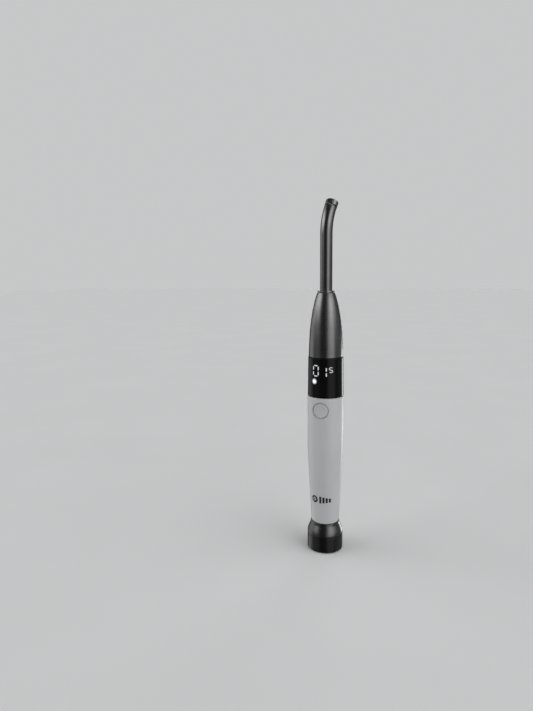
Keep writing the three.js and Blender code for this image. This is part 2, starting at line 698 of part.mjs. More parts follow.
function ledBoard() {
  const notches = [-LED_BOARD_RADIUS, LED_BOARD_RADIUS].map((x) => (
    disc(1.3, LED_BOARD_BOTTOM - 1, LED_BOARD_TOP + 1, SMALL_SIDES).translate(x, 0, 0)
  ));
  return cut(disc(LED_BOARD_RADIUS, LED_BOARD_BOTTOM, LED_BOARD_TOP), ...notches);
}

function heatSink() {
  const fins = 3;
  const profile = [[0, SINK_BOTTOM]];
  for (let fin = 0; fin < fins; fin += 1) {
    const bottom = SINK_BOTTOM + fin * FIN_PITCH;
    profile.push([SINK_RADIUS, bottom], [SINK_RADIUS, bottom + FIN]);
    profile.push([SINK_CORE, bottom + FIN], [SINK_CORE, bottom + FIN_PITCH]);
  }
  profile.push([SINK_RADIUS, SINK_BOTTOM + fins * FIN_PITCH], [SINK_RADIUS, SINK_TOP], [0, SINK_TOP]);
  const slotIn = 6.5;
  const slotOut = 11;
  const wireSlots = [[-slotOut, -slotIn], [slotIn, slotOut]].map(([x0, x1]) => (
    block(x0, x1, -FIN, FIN, SINK_BOTTOM - 2, SINK_TOP + 2)
  ));
  return cut(revolve(profile), ...wireSlots);
}

function addNose() {
  add("nose_shell", noseShell(), GUNMETAL);
  add("heat_sink", heatSink(), ALUMINIUM);
  add("led_board", ledBoard(), ALUMINIUM);
  add("led_emitter", ledEmitter(), EMITTER);
  add("lens_holder", ring(7.5, SINK_RADIUS, HOLDER_BOTTOM, HOLDER_TOP), DARK_PLASTIC);
  add("collimator_lens", collimatorLens(), GLASS);
  add("guide_socket", guideSocket(), STEEL);
}

// Light guide: a bent tube round a fibre rod, on a ferrule with a retaining ring
const BEND = deg(GUIDE_BEND_DEG);

class GuideCurve extends THREE.Curve {
  constructor(bottom, tail) {
    super();
    this.straight = GUIDE_BEND_START - bottom;
    this.bottom = bottom;
    this.arc = GUIDE_BEND_RADIUS * BEND;
    this.total = this.straight + this.arc + tail;
  }

  getPoint(t, target = new THREE.Vector3()) {
    const along = t * this.total;
    if (along <= this.straight) return target.set(0, 0, this.bottom + along);
    const turned = Math.min((along - this.straight) / GUIDE_BEND_RADIUS, BEND);
    const beyond = Math.max(along - this.straight - this.arc, 0);
    return target.set(
      0,
      GUIDE_BEND_RADIUS * (1 - Math.cos(turned)) + beyond * Math.sin(BEND),
      GUIDE_BEND_START + GUIDE_BEND_RADIUS * Math.sin(turned) + beyond * Math.cos(BEND),
    );
  }
}

function guideTube() {
  const section = circleShape(GUIDE_RADIUS, MID_SIDES);
  section.holes.push(new THREE.Path(circleShape(GUIDE_BORE_RADIUS, MID_SIDES).getPoints()));
  return sweep(section, new GuideCurve(FERRULE_STEP + GAP, 0), 22);
}

function guideCore() {
  const path = new GuideCurve(FERRULE_BOTTOM, GAP + COLLAR_LENGTH - 0.3);
  return sweep(circleShape(GUIDE_CORE_RADIUS, SMALL_SIDES), path, 28);
}

function tipCollar() {
  return revolve([
    [GUIDE_BORE_RADIUS, 0], [COLLAR_RADIUS - 0.15, 0], [COLLAR_RADIUS, 0.2],
    [COLLAR_RADIUS, COLLAR_LENGTH - 0.4], [COLLAR_RADIUS - 0.3, COLLAR_LENGTH],
    [GUIDE_BORE_RADIUS, COLLAR_LENGTH],
  ]);
}

function guideFerrule() {
  const grooveBottom = SEAL_HEIGHT - 1;
  const grooveTop = SEAL_HEIGHT + 1;
  const grooveRadius = FERRULE_RADIUS - 0.6;
  const flangeRadius = 5.85;
  const flangeBottom = NOSE_TOP + GAP;
  const flangeTop = flangeBottom + 1;
  const coreBore = GUIDE_CORE_RADIUS + 0.25;
  const tubeBore = GUIDE_RADIUS + 0.2;
  return revolve([
    [coreBore, FERRULE_BOTTOM],
    [FERRULE_RADIUS, FERRULE_BOTTOM],
    [FERRULE_RADIUS, grooveBottom], [grooveRadius, grooveBottom],
    [grooveRadius, grooveTop], [FERRULE_RADIUS, grooveTop],
    [FERRULE_RADIUS, flangeBottom],
    [flangeRadius, flangeBottom], [flangeRadius, flangeTop - 0.2], [flangeRadius - 0.2, flangeTop],
    [tubeBore, flangeTop], [tubeBore, FERRULE_STEP],
    [coreBore, FERRULE_STEP],
  ]);
}

function addGuide() {
  const guide = new THREE.Group();
  guide.rotation.z = -deg(GUIDE_BEND_AZIMUTH_DEG);
  handpiece.add(guide);
  add("guide_ferrule", guideFerrule(), BLACK_CHROME, guide);
  add("guide_o_ring", roundSeal(FERRULE_RADIUS - 0.02, 0.4, SEAL_HEIGHT), RUBBER, guide);
  add("guide_tube", guideTube(), GUNMETAL, guide);
  add("guide_core", guideCore(), GLASS, guide);
  const tubeEnd = new GuideCurve(FERRULE_BOTTOM, 0).getPoint(1);
  const axis = new THREE.Vector3(0, Math.sin(BEND), Math.cos(BEND));
  const collar = add("tip_collar", tipCollar(), BLACK_CHROME, guide);
  collar.rotation.x = -BEND;
  collar.position.copy(tubeEnd).addScaledVector(axis, GAP);
}

addDock();
addHandle();
addDisplay();
addNose();
addGuide();

export default root;
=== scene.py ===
"""Looks of a pen-style dental curing light standing in its charging dock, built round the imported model."""
import math

import bmesh
import bpy
from mathutils import Matrix, Vector


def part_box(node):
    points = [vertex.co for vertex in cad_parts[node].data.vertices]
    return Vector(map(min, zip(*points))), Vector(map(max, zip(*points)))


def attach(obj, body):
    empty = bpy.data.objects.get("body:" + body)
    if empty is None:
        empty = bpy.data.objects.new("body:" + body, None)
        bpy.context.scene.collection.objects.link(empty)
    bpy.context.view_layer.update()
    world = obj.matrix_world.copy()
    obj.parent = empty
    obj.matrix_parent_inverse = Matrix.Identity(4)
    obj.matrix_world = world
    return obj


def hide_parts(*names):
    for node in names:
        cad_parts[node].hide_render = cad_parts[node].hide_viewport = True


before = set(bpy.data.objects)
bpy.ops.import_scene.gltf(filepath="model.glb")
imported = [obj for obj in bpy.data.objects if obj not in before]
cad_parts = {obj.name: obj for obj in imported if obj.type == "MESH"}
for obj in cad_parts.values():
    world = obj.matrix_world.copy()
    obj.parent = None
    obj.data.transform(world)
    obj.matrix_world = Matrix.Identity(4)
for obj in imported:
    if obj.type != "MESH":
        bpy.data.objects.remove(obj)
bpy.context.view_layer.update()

MM = 0.001  # every size below is in millimetres
FINE_SIDES = 160
SHELL_SIDES = 192  # for the large casings
SHARP_DEG = 40


def extent(node):
    """Bottom, top and outer radius of a round CAD node, in millimetres."""
    low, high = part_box(node)
    return low.z / MM, high.z / MM, high.x / MM


HANDLE_LOW, HANDLE_HIGH, HANDLE_TOP_RADIUS = extent("handle_shell")
BAND_LOW, BAND_HIGH, BAND_RADIUS = extent("display_window")
NOSE_LOW, NOSE_HIGH, NOSE_RADIUS = extent("nose_shell")
DOCK_LOW, DOCK_WALL_TOP, DOCK_RADIUS = extent("dock_shell")
_, COLLAR_HIGH, _ = extent("dock_collar")
FOOT_LOW, FOOT_HIGH, FOOT_RADIUS = extent("rubber_foot")
TAIL_LOW, TAIL_HIGH, TAIL_RADIUS = extent("tail_plug")
_, CUP_HIGH, CUP_RADIUS = extent("dock_cup")
BUTTON_LOW, BUTTON_HIGH, _ = extent("power_button")
FERRULE_LOW, FERRULE_HIGH, _ = extent("guide_ferrule")
GAP = BAND_LOW - HANDLE_HIGH


# ---------------------------------------------------------------- outlines
HANDLE_BOTTOM_RADIUS = 9.95
HANDLE_TAPER_END = HANDLE_LOW + 44.8
HANDLE_TAPER_RADIUS = 12.35
HANDLE_GRIP_START = HANDLE_LOW + 66.8
HANDLE_GRIP_RADIUS = 12.75
HANDLE_WALL = 1.6
GRIP_EASE = 2.5  # how late the taper turns into the grip
BAND_TOP_RADIUS = 12.3
NOSE_STEP = BAND_HIGH + GAP  # the nose's shoulder, above its hidden spigot
NOSE_OGIVE_LENGTH = 51.5
SOCKET_RADIUS = 5.5


def lerp(a, b, t):
    return a + (b - a) * t


def handle_radius(height):
    if height <= HANDLE_TAPER_END:
        along = (height - HANDLE_LOW) / (HANDLE_TAPER_END - HANDLE_LOW)
        return lerp(HANDLE_BOTTOM_RADIUS, HANDLE_TAPER_RADIUS, along)
    if height <= HANDLE_GRIP_START:
        left = (HANDLE_GRIP_START - height) / (HANDLE_GRIP_START - HANDLE_TAPER_END)
        return HANDLE_GRIP_RADIUS - (HANDLE_GRIP_RADIUS - HANDLE_TAPER_RADIUS) * left ** GRIP_EASE
    along = (height - HANDLE_GRIP_START) / (HANDLE_HIGH - HANDLE_GRIP_START)
    return lerp(HANDLE_GRIP_RADIUS, HANDLE_TOP_RADIUS, along)


def band_radius(height):
    return lerp(BAND_RADIUS, BAND_TOP_RADIUS, (height - BAND_LOW) / (BAND_HIGH - BAND_LOW))


def nose_radius(height):
    along = (height - NOSE_STEP) / NOSE_OGIVE_LENGTH
    return NOSE_RADIUS * math.sqrt(1 - along * along)


def steps(low, high, count):
    """count + 1 even values from low to high."""
    return [lerp(low, high, i / count) for i in range(count + 1)]


def rounded(corners, arc_steps=5, hold=0.3):
    """Points of a profile with its corners (radius, height, fillet) rounded.

    A point is held just past each arc. A profile that starts on the axis ends there too, and isn't closed.
    """
    longest = 0.45  # the most of a side that one arc may take
    points = []
    count = len(corners)
    closed = corners[0][0] > 0
    for i, (radius, height, fillet) in enumerate(corners):
        here = Vector((radius, height))
        if fillet <= 0 or (not closed and i in (0, count - 1)):
            points.append(here)
            continue
        back = Vector(corners[i - 1][:2]) - here
        ahead = Vector(corners[(i + 1) % count][:2]) - here
        half = back.angle(ahead) / 2
        reach = min(fillet / math.tan(half), longest * back.length, longest * ahead.length)
        back_unit, ahead_unit = back.normalized(), ahead.normalized()
        start, end = here + back_unit * reach, here + ahead_unit * reach
        centre = here + (back_unit + ahead_unit).normalized() * (reach / math.cos(half))
        if back.length > reach + 2 * hold:
            points.append(start + back_unit * hold)
        for k in range(arc_steps + 1):
            arm = (start - centre).lerp(end - centre, k / arc_steps)
            points.append(centre + arm.normalized() * (start - centre).length)
        if ahead.length > reach + 2 * hold:
            points.append(end + ahead_unit * hold)
    return [(max(p.x, 0.0), p.y) for p in points]


def outline(radius_of, heights):
    """Corners of a smooth outline, without fillets."""
    return [(radius_of(height), height, 0) for height in heights]


# ---------------------------------------------------------------- meshes
def lathe(profile, sides=FINE_SIDES):
    """A profile turned round the Z axis: closed on itself, or from the axis to the axis."""
    verts, faces, rows = [], [], []
    closed = profile[0][0] > 0
    for radius, height in profile:
        if radius < 1e-6:
            rows.append([len(verts)] * sides)
            verts.append((0, 0, height))
            continue
        rows.append(list(range(len(verts), len(verts) + sides)))
        for k in range(sides):
            angle = 2 * math.pi * k / sides
            verts.append((radius * math.sin(angle), -radius * math.cos(angle), height))
    pairs = list(zip(rows, rows[1:])) + ([(rows[-1], rows[0])] if closed else [])
    for low, high in pairs:
        for k in range(sides):
            corners = (low[k], low[(k + 1) % sides], high[(k + 1) % sides], high[k])
            face = list(dict.fromkeys(corners))
            if len(face) > 2:
                faces.append(face)
    return verts, faces


def loft(rings, closed_path=False):
    """Quads between rings of points, with both ends capped unless the path closes on itself."""
    verts = [point for ring in rings for point in ring]
    size = len(rings[0])
    faces = []
    count = len(rings)
    for i in range(count if closed_path else count - 1):
        a, b = i * size, ((i + 1) % count) * size
        for k in range(size):
            n = (k + 1) % size
            faces.append((a + k, a + n, b + n, b + k))
    if not closed_path:
        faces.append(tuple(reversed(range(size))))
        faces.append(tuple(range((count - 1) * size, count * size)))
    return verts, faces


def solid_mesh(name, shape):
    """A mesh from (verts, faces) in millimetres, with every face turned outwards."""
    same_place = 1e-8  # metres
    verts, faces = shape
    mesh = bpy.data.meshes.new(name)
    mesh.from_pydata([[c * MM for c in v] for v in verts], [], faces)
    work = bmesh.new()
    work.from_mesh(mesh)
    bmesh.ops.remove_doubles(work, verts=work.verts, dist=same_place)
    bmesh.ops.recalc_face_normals(work, faces=work.faces)
    work.to_mesh(mesh)
    work.free()
    return mesh


def shade_smooth(mesh):
    """Smooth shading that stops at sharp edges."""
    mesh.polygons.foreach_set("use_smooth", [True] * len(mesh.polygons))
    mesh.set_sharp_from_angle(angle=math.radians(SHARP_DEG))


def make_piece(name, shape, material, body, replaced=()):
    """A smooth-shaded object made from (verts, faces) in millimetres, riding on a CAD body."""
    mesh = solid_mesh(name, shape)
    shade_smooth(mesh)
    mesh.materials.append(material)
    piece = bpy.data.objects.new(name, mesh)
    bpy.context.scene.collection.objects.link(piece)
    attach(piece, body)
    if replaced:
        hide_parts(*replaced)
    return piece


def cut_away(piece, shape):
    """Cuts a closed shape out of a piece, for good."""
    mesh = solid_mesh("cutter", shape)
    cutter = bpy.data.objects.new(mesh.name, mesh)
    bpy.context.scene.collection.objects.link(cutter)
    modifier = piece.modifiers.new("cut", "BOOLEAN")
    modifier.object = cutter
    modifier.operation = "DIFFERENCE"
    modifier.solver = "EXACT"
    bpy.context.view_layer.update()
    result = piece.evaluated_get(bpy.context.evaluated_depsgraph_get())
    cut_mesh = bpy.data.meshes.new_from_object(result)
    piece.modifiers.clear()
    piece.data = cut_mesh
    bpy.data.objects.remove(cutter)
    shade_smooth(piece.data)


def block(low, high):
    """A plain block between its lowest and highest corners."""
    x0, y0, z0 = low
    x1, y1, z1 = high
    verts = [(x, y, z) for z in (z0, z1) for x, y in ((x0, y0), (x1, y0), (x1, y1), (x0, y1))]
    faces = [(3, 2, 1, 0), (4, 5, 6, 7), (0, 1, 5, 4), (1, 2, 6, 5), (2, 3, 7, 6), (3, 0, 4, 7)]
    return verts, faces


def slot_prism(half_width, half_height, corner, y0, y1, z, arc_steps=6):
    """A rounded oblong in the XZ plane, drawn out along Y."""
    ring = []
    for sx, sz, start in ((1, 1, 0), (-1, 1, 90), (-1, -1, 180), (1, -1, 270)):
        for k in range(arc_steps + 1):
            angle = math.radians(start + 90 * k / arc_steps)
            ring.append((
                sx * (half_width - corner) + corner * math.cos(angle),
                sz * (half_height - corner) + corner * math.sin(angle),
            ))
    return loft([[(x, y, z + dz) for x, dz in ring] for y in (y0, y1)])


# ---------------------------------------------------------------- materials
def new_material(name):
    """An empty material: itself, its nodes, its links and its shader."""
    material = bpy.data.materials.new(name)
    material.use_nodes = True
    nodes, links = material.node_tree.nodes, material.node_tree.links
    return material, nodes, links, nodes["Principled BSDF"]


def noise(nodes, links, scale, detail=4.0, stretch=(1, 1, 1)):
    """A noise texture in the object's own space. scale is in features per metre."""
    place = nodes.new("ShaderNodeTexCoord")
    mapping = nodes.new("ShaderNodeMapping")
    mapping.inputs["Scale"].default_value = stretch
    texture = nodes.new("ShaderNodeTexNoise")
    texture.inputs["Scale"].default_value = scale
    texture.inputs["Detail"].default_value = detail
    links.new(place.outputs["Object"], mapping.inputs["Vector"])
    links.new(mapping.outputs["Vector"], texture.inputs["Vector"])
    return texture.outputs["Fac"]


def spread(nodes, links, factor, low, high):
    """Maps the middle of a noise to a value between low and high."""
    ranger = nodes.new("ShaderNodeMapRange")
    ranger.inputs["From Min"].default_value = 0.3
    ranger.inputs["From Max"].default_value = 0.7
    ranger.inputs["To Min"].default_value = low
    ranger.inputs["To Max"].default_value = high
    links.new(factor, ranger.inputs["Value"])
    return ranger.outputs["Result"]


def tint(nodes, links, factor, dark, light):
    """Mixes two colours by a factor."""
    mix = nodes.new("ShaderNodeMix")
    mix.data_type = "RGBA"
    links.new(factor, mix.inputs["Factor"])
    mix.inputs["A"].default_value = (*dark, 1)
    mix.inputs["B"].default_value = (*light, 1)
    return mix.outputs["Result"]


def bump(nodes, links, shader, factor, strength, distance):
    """Raises the surface by a factor, up to distance millimetres."""
    node = nodes.new("ShaderNodeBump")
    node.inputs["Strength"].default_value = strength
    node.inputs["Distance"].default_value = distance * MM
    links.new(factor, node.inputs["Height"])
    links.new(node.outputs["Normal"], shader.inputs["Normal"])


def grey(value, warm=0.0):
    """A grey, a little warm or, below zero, a little cool."""
    return (value * (1 + warm), value, value * (1 - warm))


def moulded_plastic(name, colour, roughness, grain=0.02, coat=0.0, variation=0.04):
    """Injection-moulded plastic: slight shade drift, uneven gloss and a fine spark-eroded grain."""
    material, nodes, links, shader = new_material(name)
    drift = noise(nodes, links, scale=60, detail=2)
    dark = tuple(c * (1 - variation) for c in colour)
    light = tuple(min(c * (1 + variation), 1) for c in colour)
    links.new(tint(nodes, links, spread(nodes, links, drift, 0, 1), dark, light), shader.inputs["Base Color"])
    smears = noise(nodes, links, scale=180, detail=3, stretch=(1, 1, 0.35))
    links.new(spread(nodes, links, smears, roughness * 0.85, roughness * 1.15), shader.inputs["Roughness"])
    bump(nodes, links, shader, noise(nodes, links, scale=2600, detail=3), 0.35, grain)
    shader.inputs["Coat Weight"].default_value = coat
    shader.inputs["Coat Roughness"].default_value = 0.12
    return material


def satin_metal(name, colour, roughness, streak=(1, 1, 0.04), grain=0.003):
    """Blasted and anodised metal: fine vertical polishing streaks under a very fine grain."""
    material, nodes, links, shader = new_material(name)
    shader.inputs["Metallic"].default_value = 1
    drift = noise(nodes, links, scale=90, detail=3)
    dark = tuple(c * 0.9 for c in colour)
    light = tuple(c * 1.1 for c in colour)
    links.new(tint(nodes, links, spread(nodes, links, drift, 0, 1), dark, light), shader.inputs["Base Color"])
    streaks = noise(nodes, links, scale=1400, detail=5, stretch=streak)
    links.new(spread(nodes, links, streaks, roughness * 0.8, roughness * 1.2), shader.inputs["Roughness"])
    bump(nodes, links, shader, noise(nodes, links, scale=5200, detail=2), 0.2, grain)
    return material


def glossy(name, colour, roughness, metallic=0.0, coat=1.0, specular=0.5):
    """A polished surface with faint wiping marks and specks."""
    material, nodes, links, shader = new_material(name)
    shader.inputs["Metallic"].default_value = metallic
    shader.inputs["Specular IOR Level"].default_value = specular
    shader.inputs["Coat Weight"].default_value = coat
    shader.inputs["Coat Roughness"].default_value = 0.04
    tone = noise(nodes, links, scale=300, detail=4)
    dark = tuple(c * 0.85 for c in colour)
    light = tuple(c * 1.15 for c in colour)
    links.new(tint(nodes, links, spread(nodes, links, tone, 0, 1), dark, light), shader.inputs["Base Color"])
    wipes = noise(nodes, links, scale=420, detail=5, stretch=(1, 1, 0.2))
    links.new(spread(nodes, links, wipes, roughness * 0.7, roughness * 1.4), shader.inputs["Roughness"])
    bump(nodes, links, shader, noise(nodes, links, scale=900, detail=2), 0.15, 0.004)
    return material


def glowing(name, colour, strength, centre=None, radius=1.0):
    """Light from behind a diffuser. With a centre, it fades out from there over radius millimetres."""
    material, nodes, links, shader = new_material(name)
    shader.inputs["Base Color"].default_value = (0.02, 0.02, 0.02, 1)
    shader.inputs["Roughness"].default_value = 0.3
    shader.inputs["Emission Color"].default_value = (*colour, 1)
    cloud = spread(nodes, links, noise(nodes, links, scale=1500, detail=2), 0.85 * strength, 1.15 * strength)
    if centre is None:
        links.new(cloud, shader.inputs["Emission Strength"])
        return material
    place = nodes.new("ShaderNodeTexCoord")
    distance = nodes.new("ShaderNodeVectorMath")
    distance.operation = "DISTANCE"
    distance.inputs[1].default_value = [c * MM for c in centre]
    links.new(place.outputs["Object"], distance.inputs[0])
    fade = nodes.new("ShaderNodeMapRange")
    fade.interpolation_type = "SMOOTHSTEP"
    fade.inputs["From Min"].default_value = 0.2 * radius * MM
    fade.inputs["From Max"].default_value = radius * MM
    fade.inputs["To Min"].default_value = 1
    fade.inputs["To Max"].default_value = 0
    links.new(distance.outputs["Value"], fade.inputs["Value"])
    product = nodes.new("ShaderNodeMath")
    product.operation = "MULTIPLY"
    links.new(cloud, product.inputs[0])
    links.new(fade.outputs["Result"], product.inputs[1])
    links.new(product.outputs["Value"], shader.inputs["Emission Strength"])
    return material


def fibre_glass(name):
    """The polished end of a fused fibre rod: a honeycomb of pale fibres with darker joints."""
    material, nodes, links, shader = new_material(name)
    place = nodes.new("ShaderNodeTexCoord")
    cells = nodes.new("ShaderNodeTexVoronoi")
    cells.feature = "DISTANCE_TO_EDGE"
    cells.inputs["Scale"].default_value = 4200
    links.new(place.outputs["Object"], cells.inputs["Vector"])
    joint, glass = (0.3, 0.32, 0.33), (0.75, 0.78, 0.8)
    colour = tint(nodes, links, spread(nodes, links, cells.outputs["Distance"], 0, 1), joint, glass)
    links.new(colour, shader.inputs["Base Color"])
    links.new(spread(nodes, links, noise(nodes, links, scale=500), 0.08, 0.16), shader.inputs["Roughness"])
    shader.inputs["Coat Weight"].default_value = 1
    shader.inputs["Coat Roughness"].default_value = 0.02
    return material


def printed_circuit(name):
    """Solder mask with faint copper tracks under it."""
    material, nodes, links, shader = new_material(name)
    place = nodes.new("ShaderNodeTexCoord")
    tracks = nodes.new("ShaderNodeTexBrick")
    tracks.inputs["Scale"].default_value = 260
    tracks.inputs["Mortar Size"].default_value = 0.06
    tracks.inputs["Color1"].default_value = (0.012, 0.09, 0.04, 1)
    tracks.inputs["Color2"].default_value = (0.014, 0.1, 0.045, 1)
    tracks.inputs["Mortar"].default_value = (0.03, 0.2, 0.09, 1)
    links.new(place.outputs["Object"], tracks.inputs["Vector"])
    links.new(tracks.outputs["Color"], shader.inputs["Base Color"])
    links.new(spread(nodes, links, noise(nodes, links, scale=700), 0.35, 0.5), shader.inputs["Roughness"])
    bump(nodes, links, shader, tracks.outputs["Fac"], 0.4, 0.03)
    return material


WHITE = moulded_plastic("white_moulding", grey(0.52, -0.005), 0.36, 0.012, variation=0.02)
BUTTON_WHITE = moulded_plastic("button_moulding", grey(0.505, -0.005), 0.42, 0.016, variation=0.02)
DARK_MOULDING = moulded_plastic("dark_moulding", grey(0.022), 0.5, 0.03)
RUBBER = moulded_plastic("moulded_rubber", grey(0.018), 0.78, 0.05)
INK = moulded_plastic("printed_ink", grey(0.012), 0.45, 0.004)
CELL_WRAP = moulded_plastic("cell_wrap", (0.05, 0.14, 0.36), 0.3, 0.01, coat=0.4)
CHIP_EPOXY = moulded_plastic("chip_epoxy", grey(0.03), 0.6, 0.02)
EMITTER_PHOSPHOR = moulded_plastic("emitter_phosphor", (0.8, 0.68, 0.3), 0.35, 0.01, coat=0.6)
LENS_PLASTIC = glossy("lens_polycarbonate", (0.75, 0.78, 0.8), 0.06)
GUNMETAL = satin_metal("gunmetal_anodised", grey(0.13, 0.01), 0.26)
TUBE_METAL = satin_metal("gunmetal_tube", grey(0.135, 0.012), 0.22)
# The dock's shoulder is the same gunmetal painted darker: painted shade standing in for the dark surroundings
# it reflects.
SHADED_SHOULDER_METAL = satin_metal("gunmetal_painted_shade", grey(0.09, 0.01), 0.26)
DARK_METAL = satin_metal("dark_painted_metal", grey(0.05, 0.01), 0.27)
STEEL = satin_metal("plain_steel", grey(0.42), 0.3)
ALUMINIUM = satin_metal("machined_aluminium", grey(0.6), 0.32, (1, 1, 6))
GOLD = satin_metal("gold_plate", (0.72, 0.5, 0.2), 0.22)
BLACK_CHROME = glossy("black_chrome", grey(0.17, 0.01), 0.14, metallic=1.0, coat=0)
SMOKED = glossy("smoked_window", grey(0.004), 0.14, coat=0, specular=0.12)
FIBRE = fibre_glass("fibre_rod")
CIRCUIT = printed_circuit("circuit_board")


# ---------------------------------------------------------------- handle and button
BUTTON_Z = (BUTTON_LOW + BUTTON_HIGH) / 2
BUTTON_RADIUS = 5.4
HOLE_RADIUS = 5.52
PATCH_HALF = 8.0  # half side of the square of handle wall round the button
PATCH_CELLS = 24
PATCH_STEPS = (0, 0.2, 0.4, 0.6, 0.8, 0.93, 1)  # how far each ring lies from the square to the hole
RIM_FILLET = 0.9
RIM_STEPS = 5


def wall_point(x, height, depth):
    """The point of the handle's front wall at x, depth millimetres under its outside."""
    radius = handle_radius(height) - depth
    return (x, -math.sqrt(radius * radius - x * x), height)


def patch_rings(depth, half_angle, heights, fillet):
    """Rings from the square of wall round the button in to the hole's edge."""
    angles = steps(-half_angle, half_angle, PATCH_CELLS)
    square = [(a, heights[0]) for a in angles]
    square += [(half_angle, h) for h in heights[1:]]
    square += [(a, heights[-1]) for a in reversed(angles[:-1])]
    square += [(-half_angle, h) for h in reversed(heights[1:-1])]
    outer = [((handle_radius(h) - depth) * math.sin(a), h) for a, h in square]
    edge = HOLE_RADIUS + fillet
    rings = []
    for t in PATCH_STEPS:
        ring = []
        for x, height in outer:
            turn = math.atan2(height - BUTTON_Z, x)
            ring.append(wall_point(
                lerp(x, edge * math.cos(turn), t),
                lerp(height, BUTTON_Z + edge * math.sin(turn), t),
                depth,
            ))
        rings.append(ring)
    if fillet:
        for k in range(1, RIM_STEPS + 1):
            angle = math.pi / 2 * k / RIM_STEPS
            radius = HOLE_RADIUS + fillet * (1 - math.sin(angle))
            rings.append([
                wall_point(
                    radius * math.cos(turn), BUTTON_Z + radius * math.sin(turn),
                    depth + fillet * (1 - math.cos(angle)),
                )
                for turn in (math.atan2(h - BUTTON_Z, x) for x, h in outer)
            ])
    return rings


def handle_shape():
    """The tapered shell, with a round hole for the button worked into its grid."""
    half_angle = math.asin(PATCH_HALF / handle_radius(BUTTON_Z))
    patch_angles = steps(-half_angle, half_angle, PATCH_CELLS)
    side_count = 132
    angles = patch_angles + steps(half_angle, 2 * math.pi - half_angle, side_count)[1:-1]
    columns = len(angles)
    low, high = BUTTON_Z - PATCH_HALF, BUTTON_Z + PATCH_HALF
    patch_heights = steps(low, high, PATCH_CELLS)
    mouth = TAIL_RADIUS + 0.3
    mouth_depth = 12.8
    edge_fillet = 0.3
    guide_height = 6.8  # where the corner under the bottom fillet aims for
    bore_top = HANDLE_LOW + mouth_depth
    wall_heights = steps(bore_top, low, 40)[1:-1] + patch_heights + [HANDLE_HIGH - 0.9]
    foot_heights = steps(HANDLE_LOW + 1.8, bore_top, 6)
    bottom = rounded([
        (mouth, HANDLE_LOW, 0.15),
        (HANDLE_BOTTOM_RADIUS, HANDLE_LOW, edge_fillet),
        (handle_radius(HANDLE_LOW + guide_height), HANDLE_LOW + guide_height, 0),
    ])[:-1]
    rim = HANDLE_TOP_RADIUS - HANDLE_WALL
    rim_foot = HANDLE_HIGH - 0.8
    top = rounded([
        (HANDLE_TOP_RADIUS - 0.01, rim_foot, 0),
        (HANDLE_TOP_RADIUS, HANDLE_HIGH, edge_fillet),
        (rim, HANDLE_HIGH, 0.1),
        (rim, rim_foot, 0),
    ])[1:-1]
    outer = [(handle_radius(h), h) for h in foot_heights + wall_heights]
    inner = [(handle_radius(h) - HANDLE_WALL, h) for h in reversed(wall_heights)]
    profile = bottom + outer + top + inner + [(mouth, bore_top), (mouth, bore_top - 6)]
    first_outer = len(bottom) + len(foot_heights) + wall_heights.index(patch_heights[0])
    first_inner = len(bottom) + len(outer) + len(top) + wall_heights[::-1].index(patch_heights[-1])
    verts = [(r * math.sin(a), -r * math.cos(a), h) for r, h in profile for a in angles]
    faces = []
    for i in range(len(profile)):
        in_patch = 0 <= i - first_outer < PATCH_CELLS or 0 <= i - first_inner < PATCH_CELLS
        below, above = i * columns, (i + 1) % len(profile) * columns
        for k in range(columns):
            if in_patch and k < PATCH_CELLS:
                continue
            n = (k + 1) % columns
            faces.append((below + k, below + n, above + n, above + k))
    outside = patch_rings(0, half_angle, patch_heights, RIM_FILLET)
    inside = patch_rings(HANDLE_WALL, half_angle, patch_heights, 0)
    hole_verts, hole_faces = loft(outside + inside[::-1])
    start = len(verts)
    verts += hole_verts
    faces += [tuple(v + start for v in face) for face in hole_faces[:-2]]
    return verts, faces


def button_shape():
    """A round cap, slightly dished, that follows the handle's curve."""
    spokes = 96
    fillet = 1.1
    fillet_steps = 6
    dish = 0.4
    skirt = 2.2
    sink = 0.04
    rows = [(BUTTON_RADIUS * t, dish * (1 - t * t) ** 2) for t in (0.12, 0.25, 0.4, 0.55, 0.7, 0.82, 0.9)]
    for k in range(fillet_steps + 1):
        angle = math.pi / 2 * k / fillet_steps
        rows.append((BUTTON_RADIUS - fillet * (1 - math.sin(angle)), fillet * (1 - math.cos(angle))))
    rows += [(BUTTON_RADIUS, fillet + 0.1), (BUTTON_RADIUS, skirt), (BUTTON_RADIUS - 1, skirt), (1, skirt)]
    rings = []
    for radius, depth in rows:
        ring = []
        for k in range(spokes):
            turn = 2 * math.pi * k / spokes
            x, height = radius * math.cos(turn), BUTTON_Z + radius * math.sin(turn)
            ring.append(wall_point(x, height, sink + depth))
        rings.append(ring)
    return loft(rings)


# ---------------------------------------------------------------- drawn marks on round surfaces
def strokes_on(radius_of, strokes, proud=0.03, sunk=0.15):
    """Flat strokes laid on a round surface. A stroke is [(azimuth in degrees, height, half width), ...]."""
    verts, faces = [], []
    for stroke in strokes:
        flat = [(math.radians(a) * radius_of(h), h, w) for a, h, w in stroke]
        rings = []
        for i, (s, h, half) in enumerate(flat):
            before, after = flat[max(i - 1, 0)], flat[min(i + 1, len(flat) - 1)]
            run = Vector((after[0] - before[0], after[1] - before[1])).normalized()
            side = Vector((-run.y, run.x)) * half
            ring = []
            for across, level in ((-1, proud), (0, proud), (1, proud), (1, -sunk), (0, -sunk), (-1, -sunk)):
                height = h + across * side.y
                angle = (s + across * side.x) / radius_of(h)
                radius = radius_of(height) + level
                ring.append((radius * math.sin(angle), -radius * math.cos(angle), height))
            rings.append(ring)
        part_verts, part_faces = loft(rings)
        faces += [tuple(v + len(verts) for v in face) for face in part_faces]
        verts += part_verts
    return verts, faces


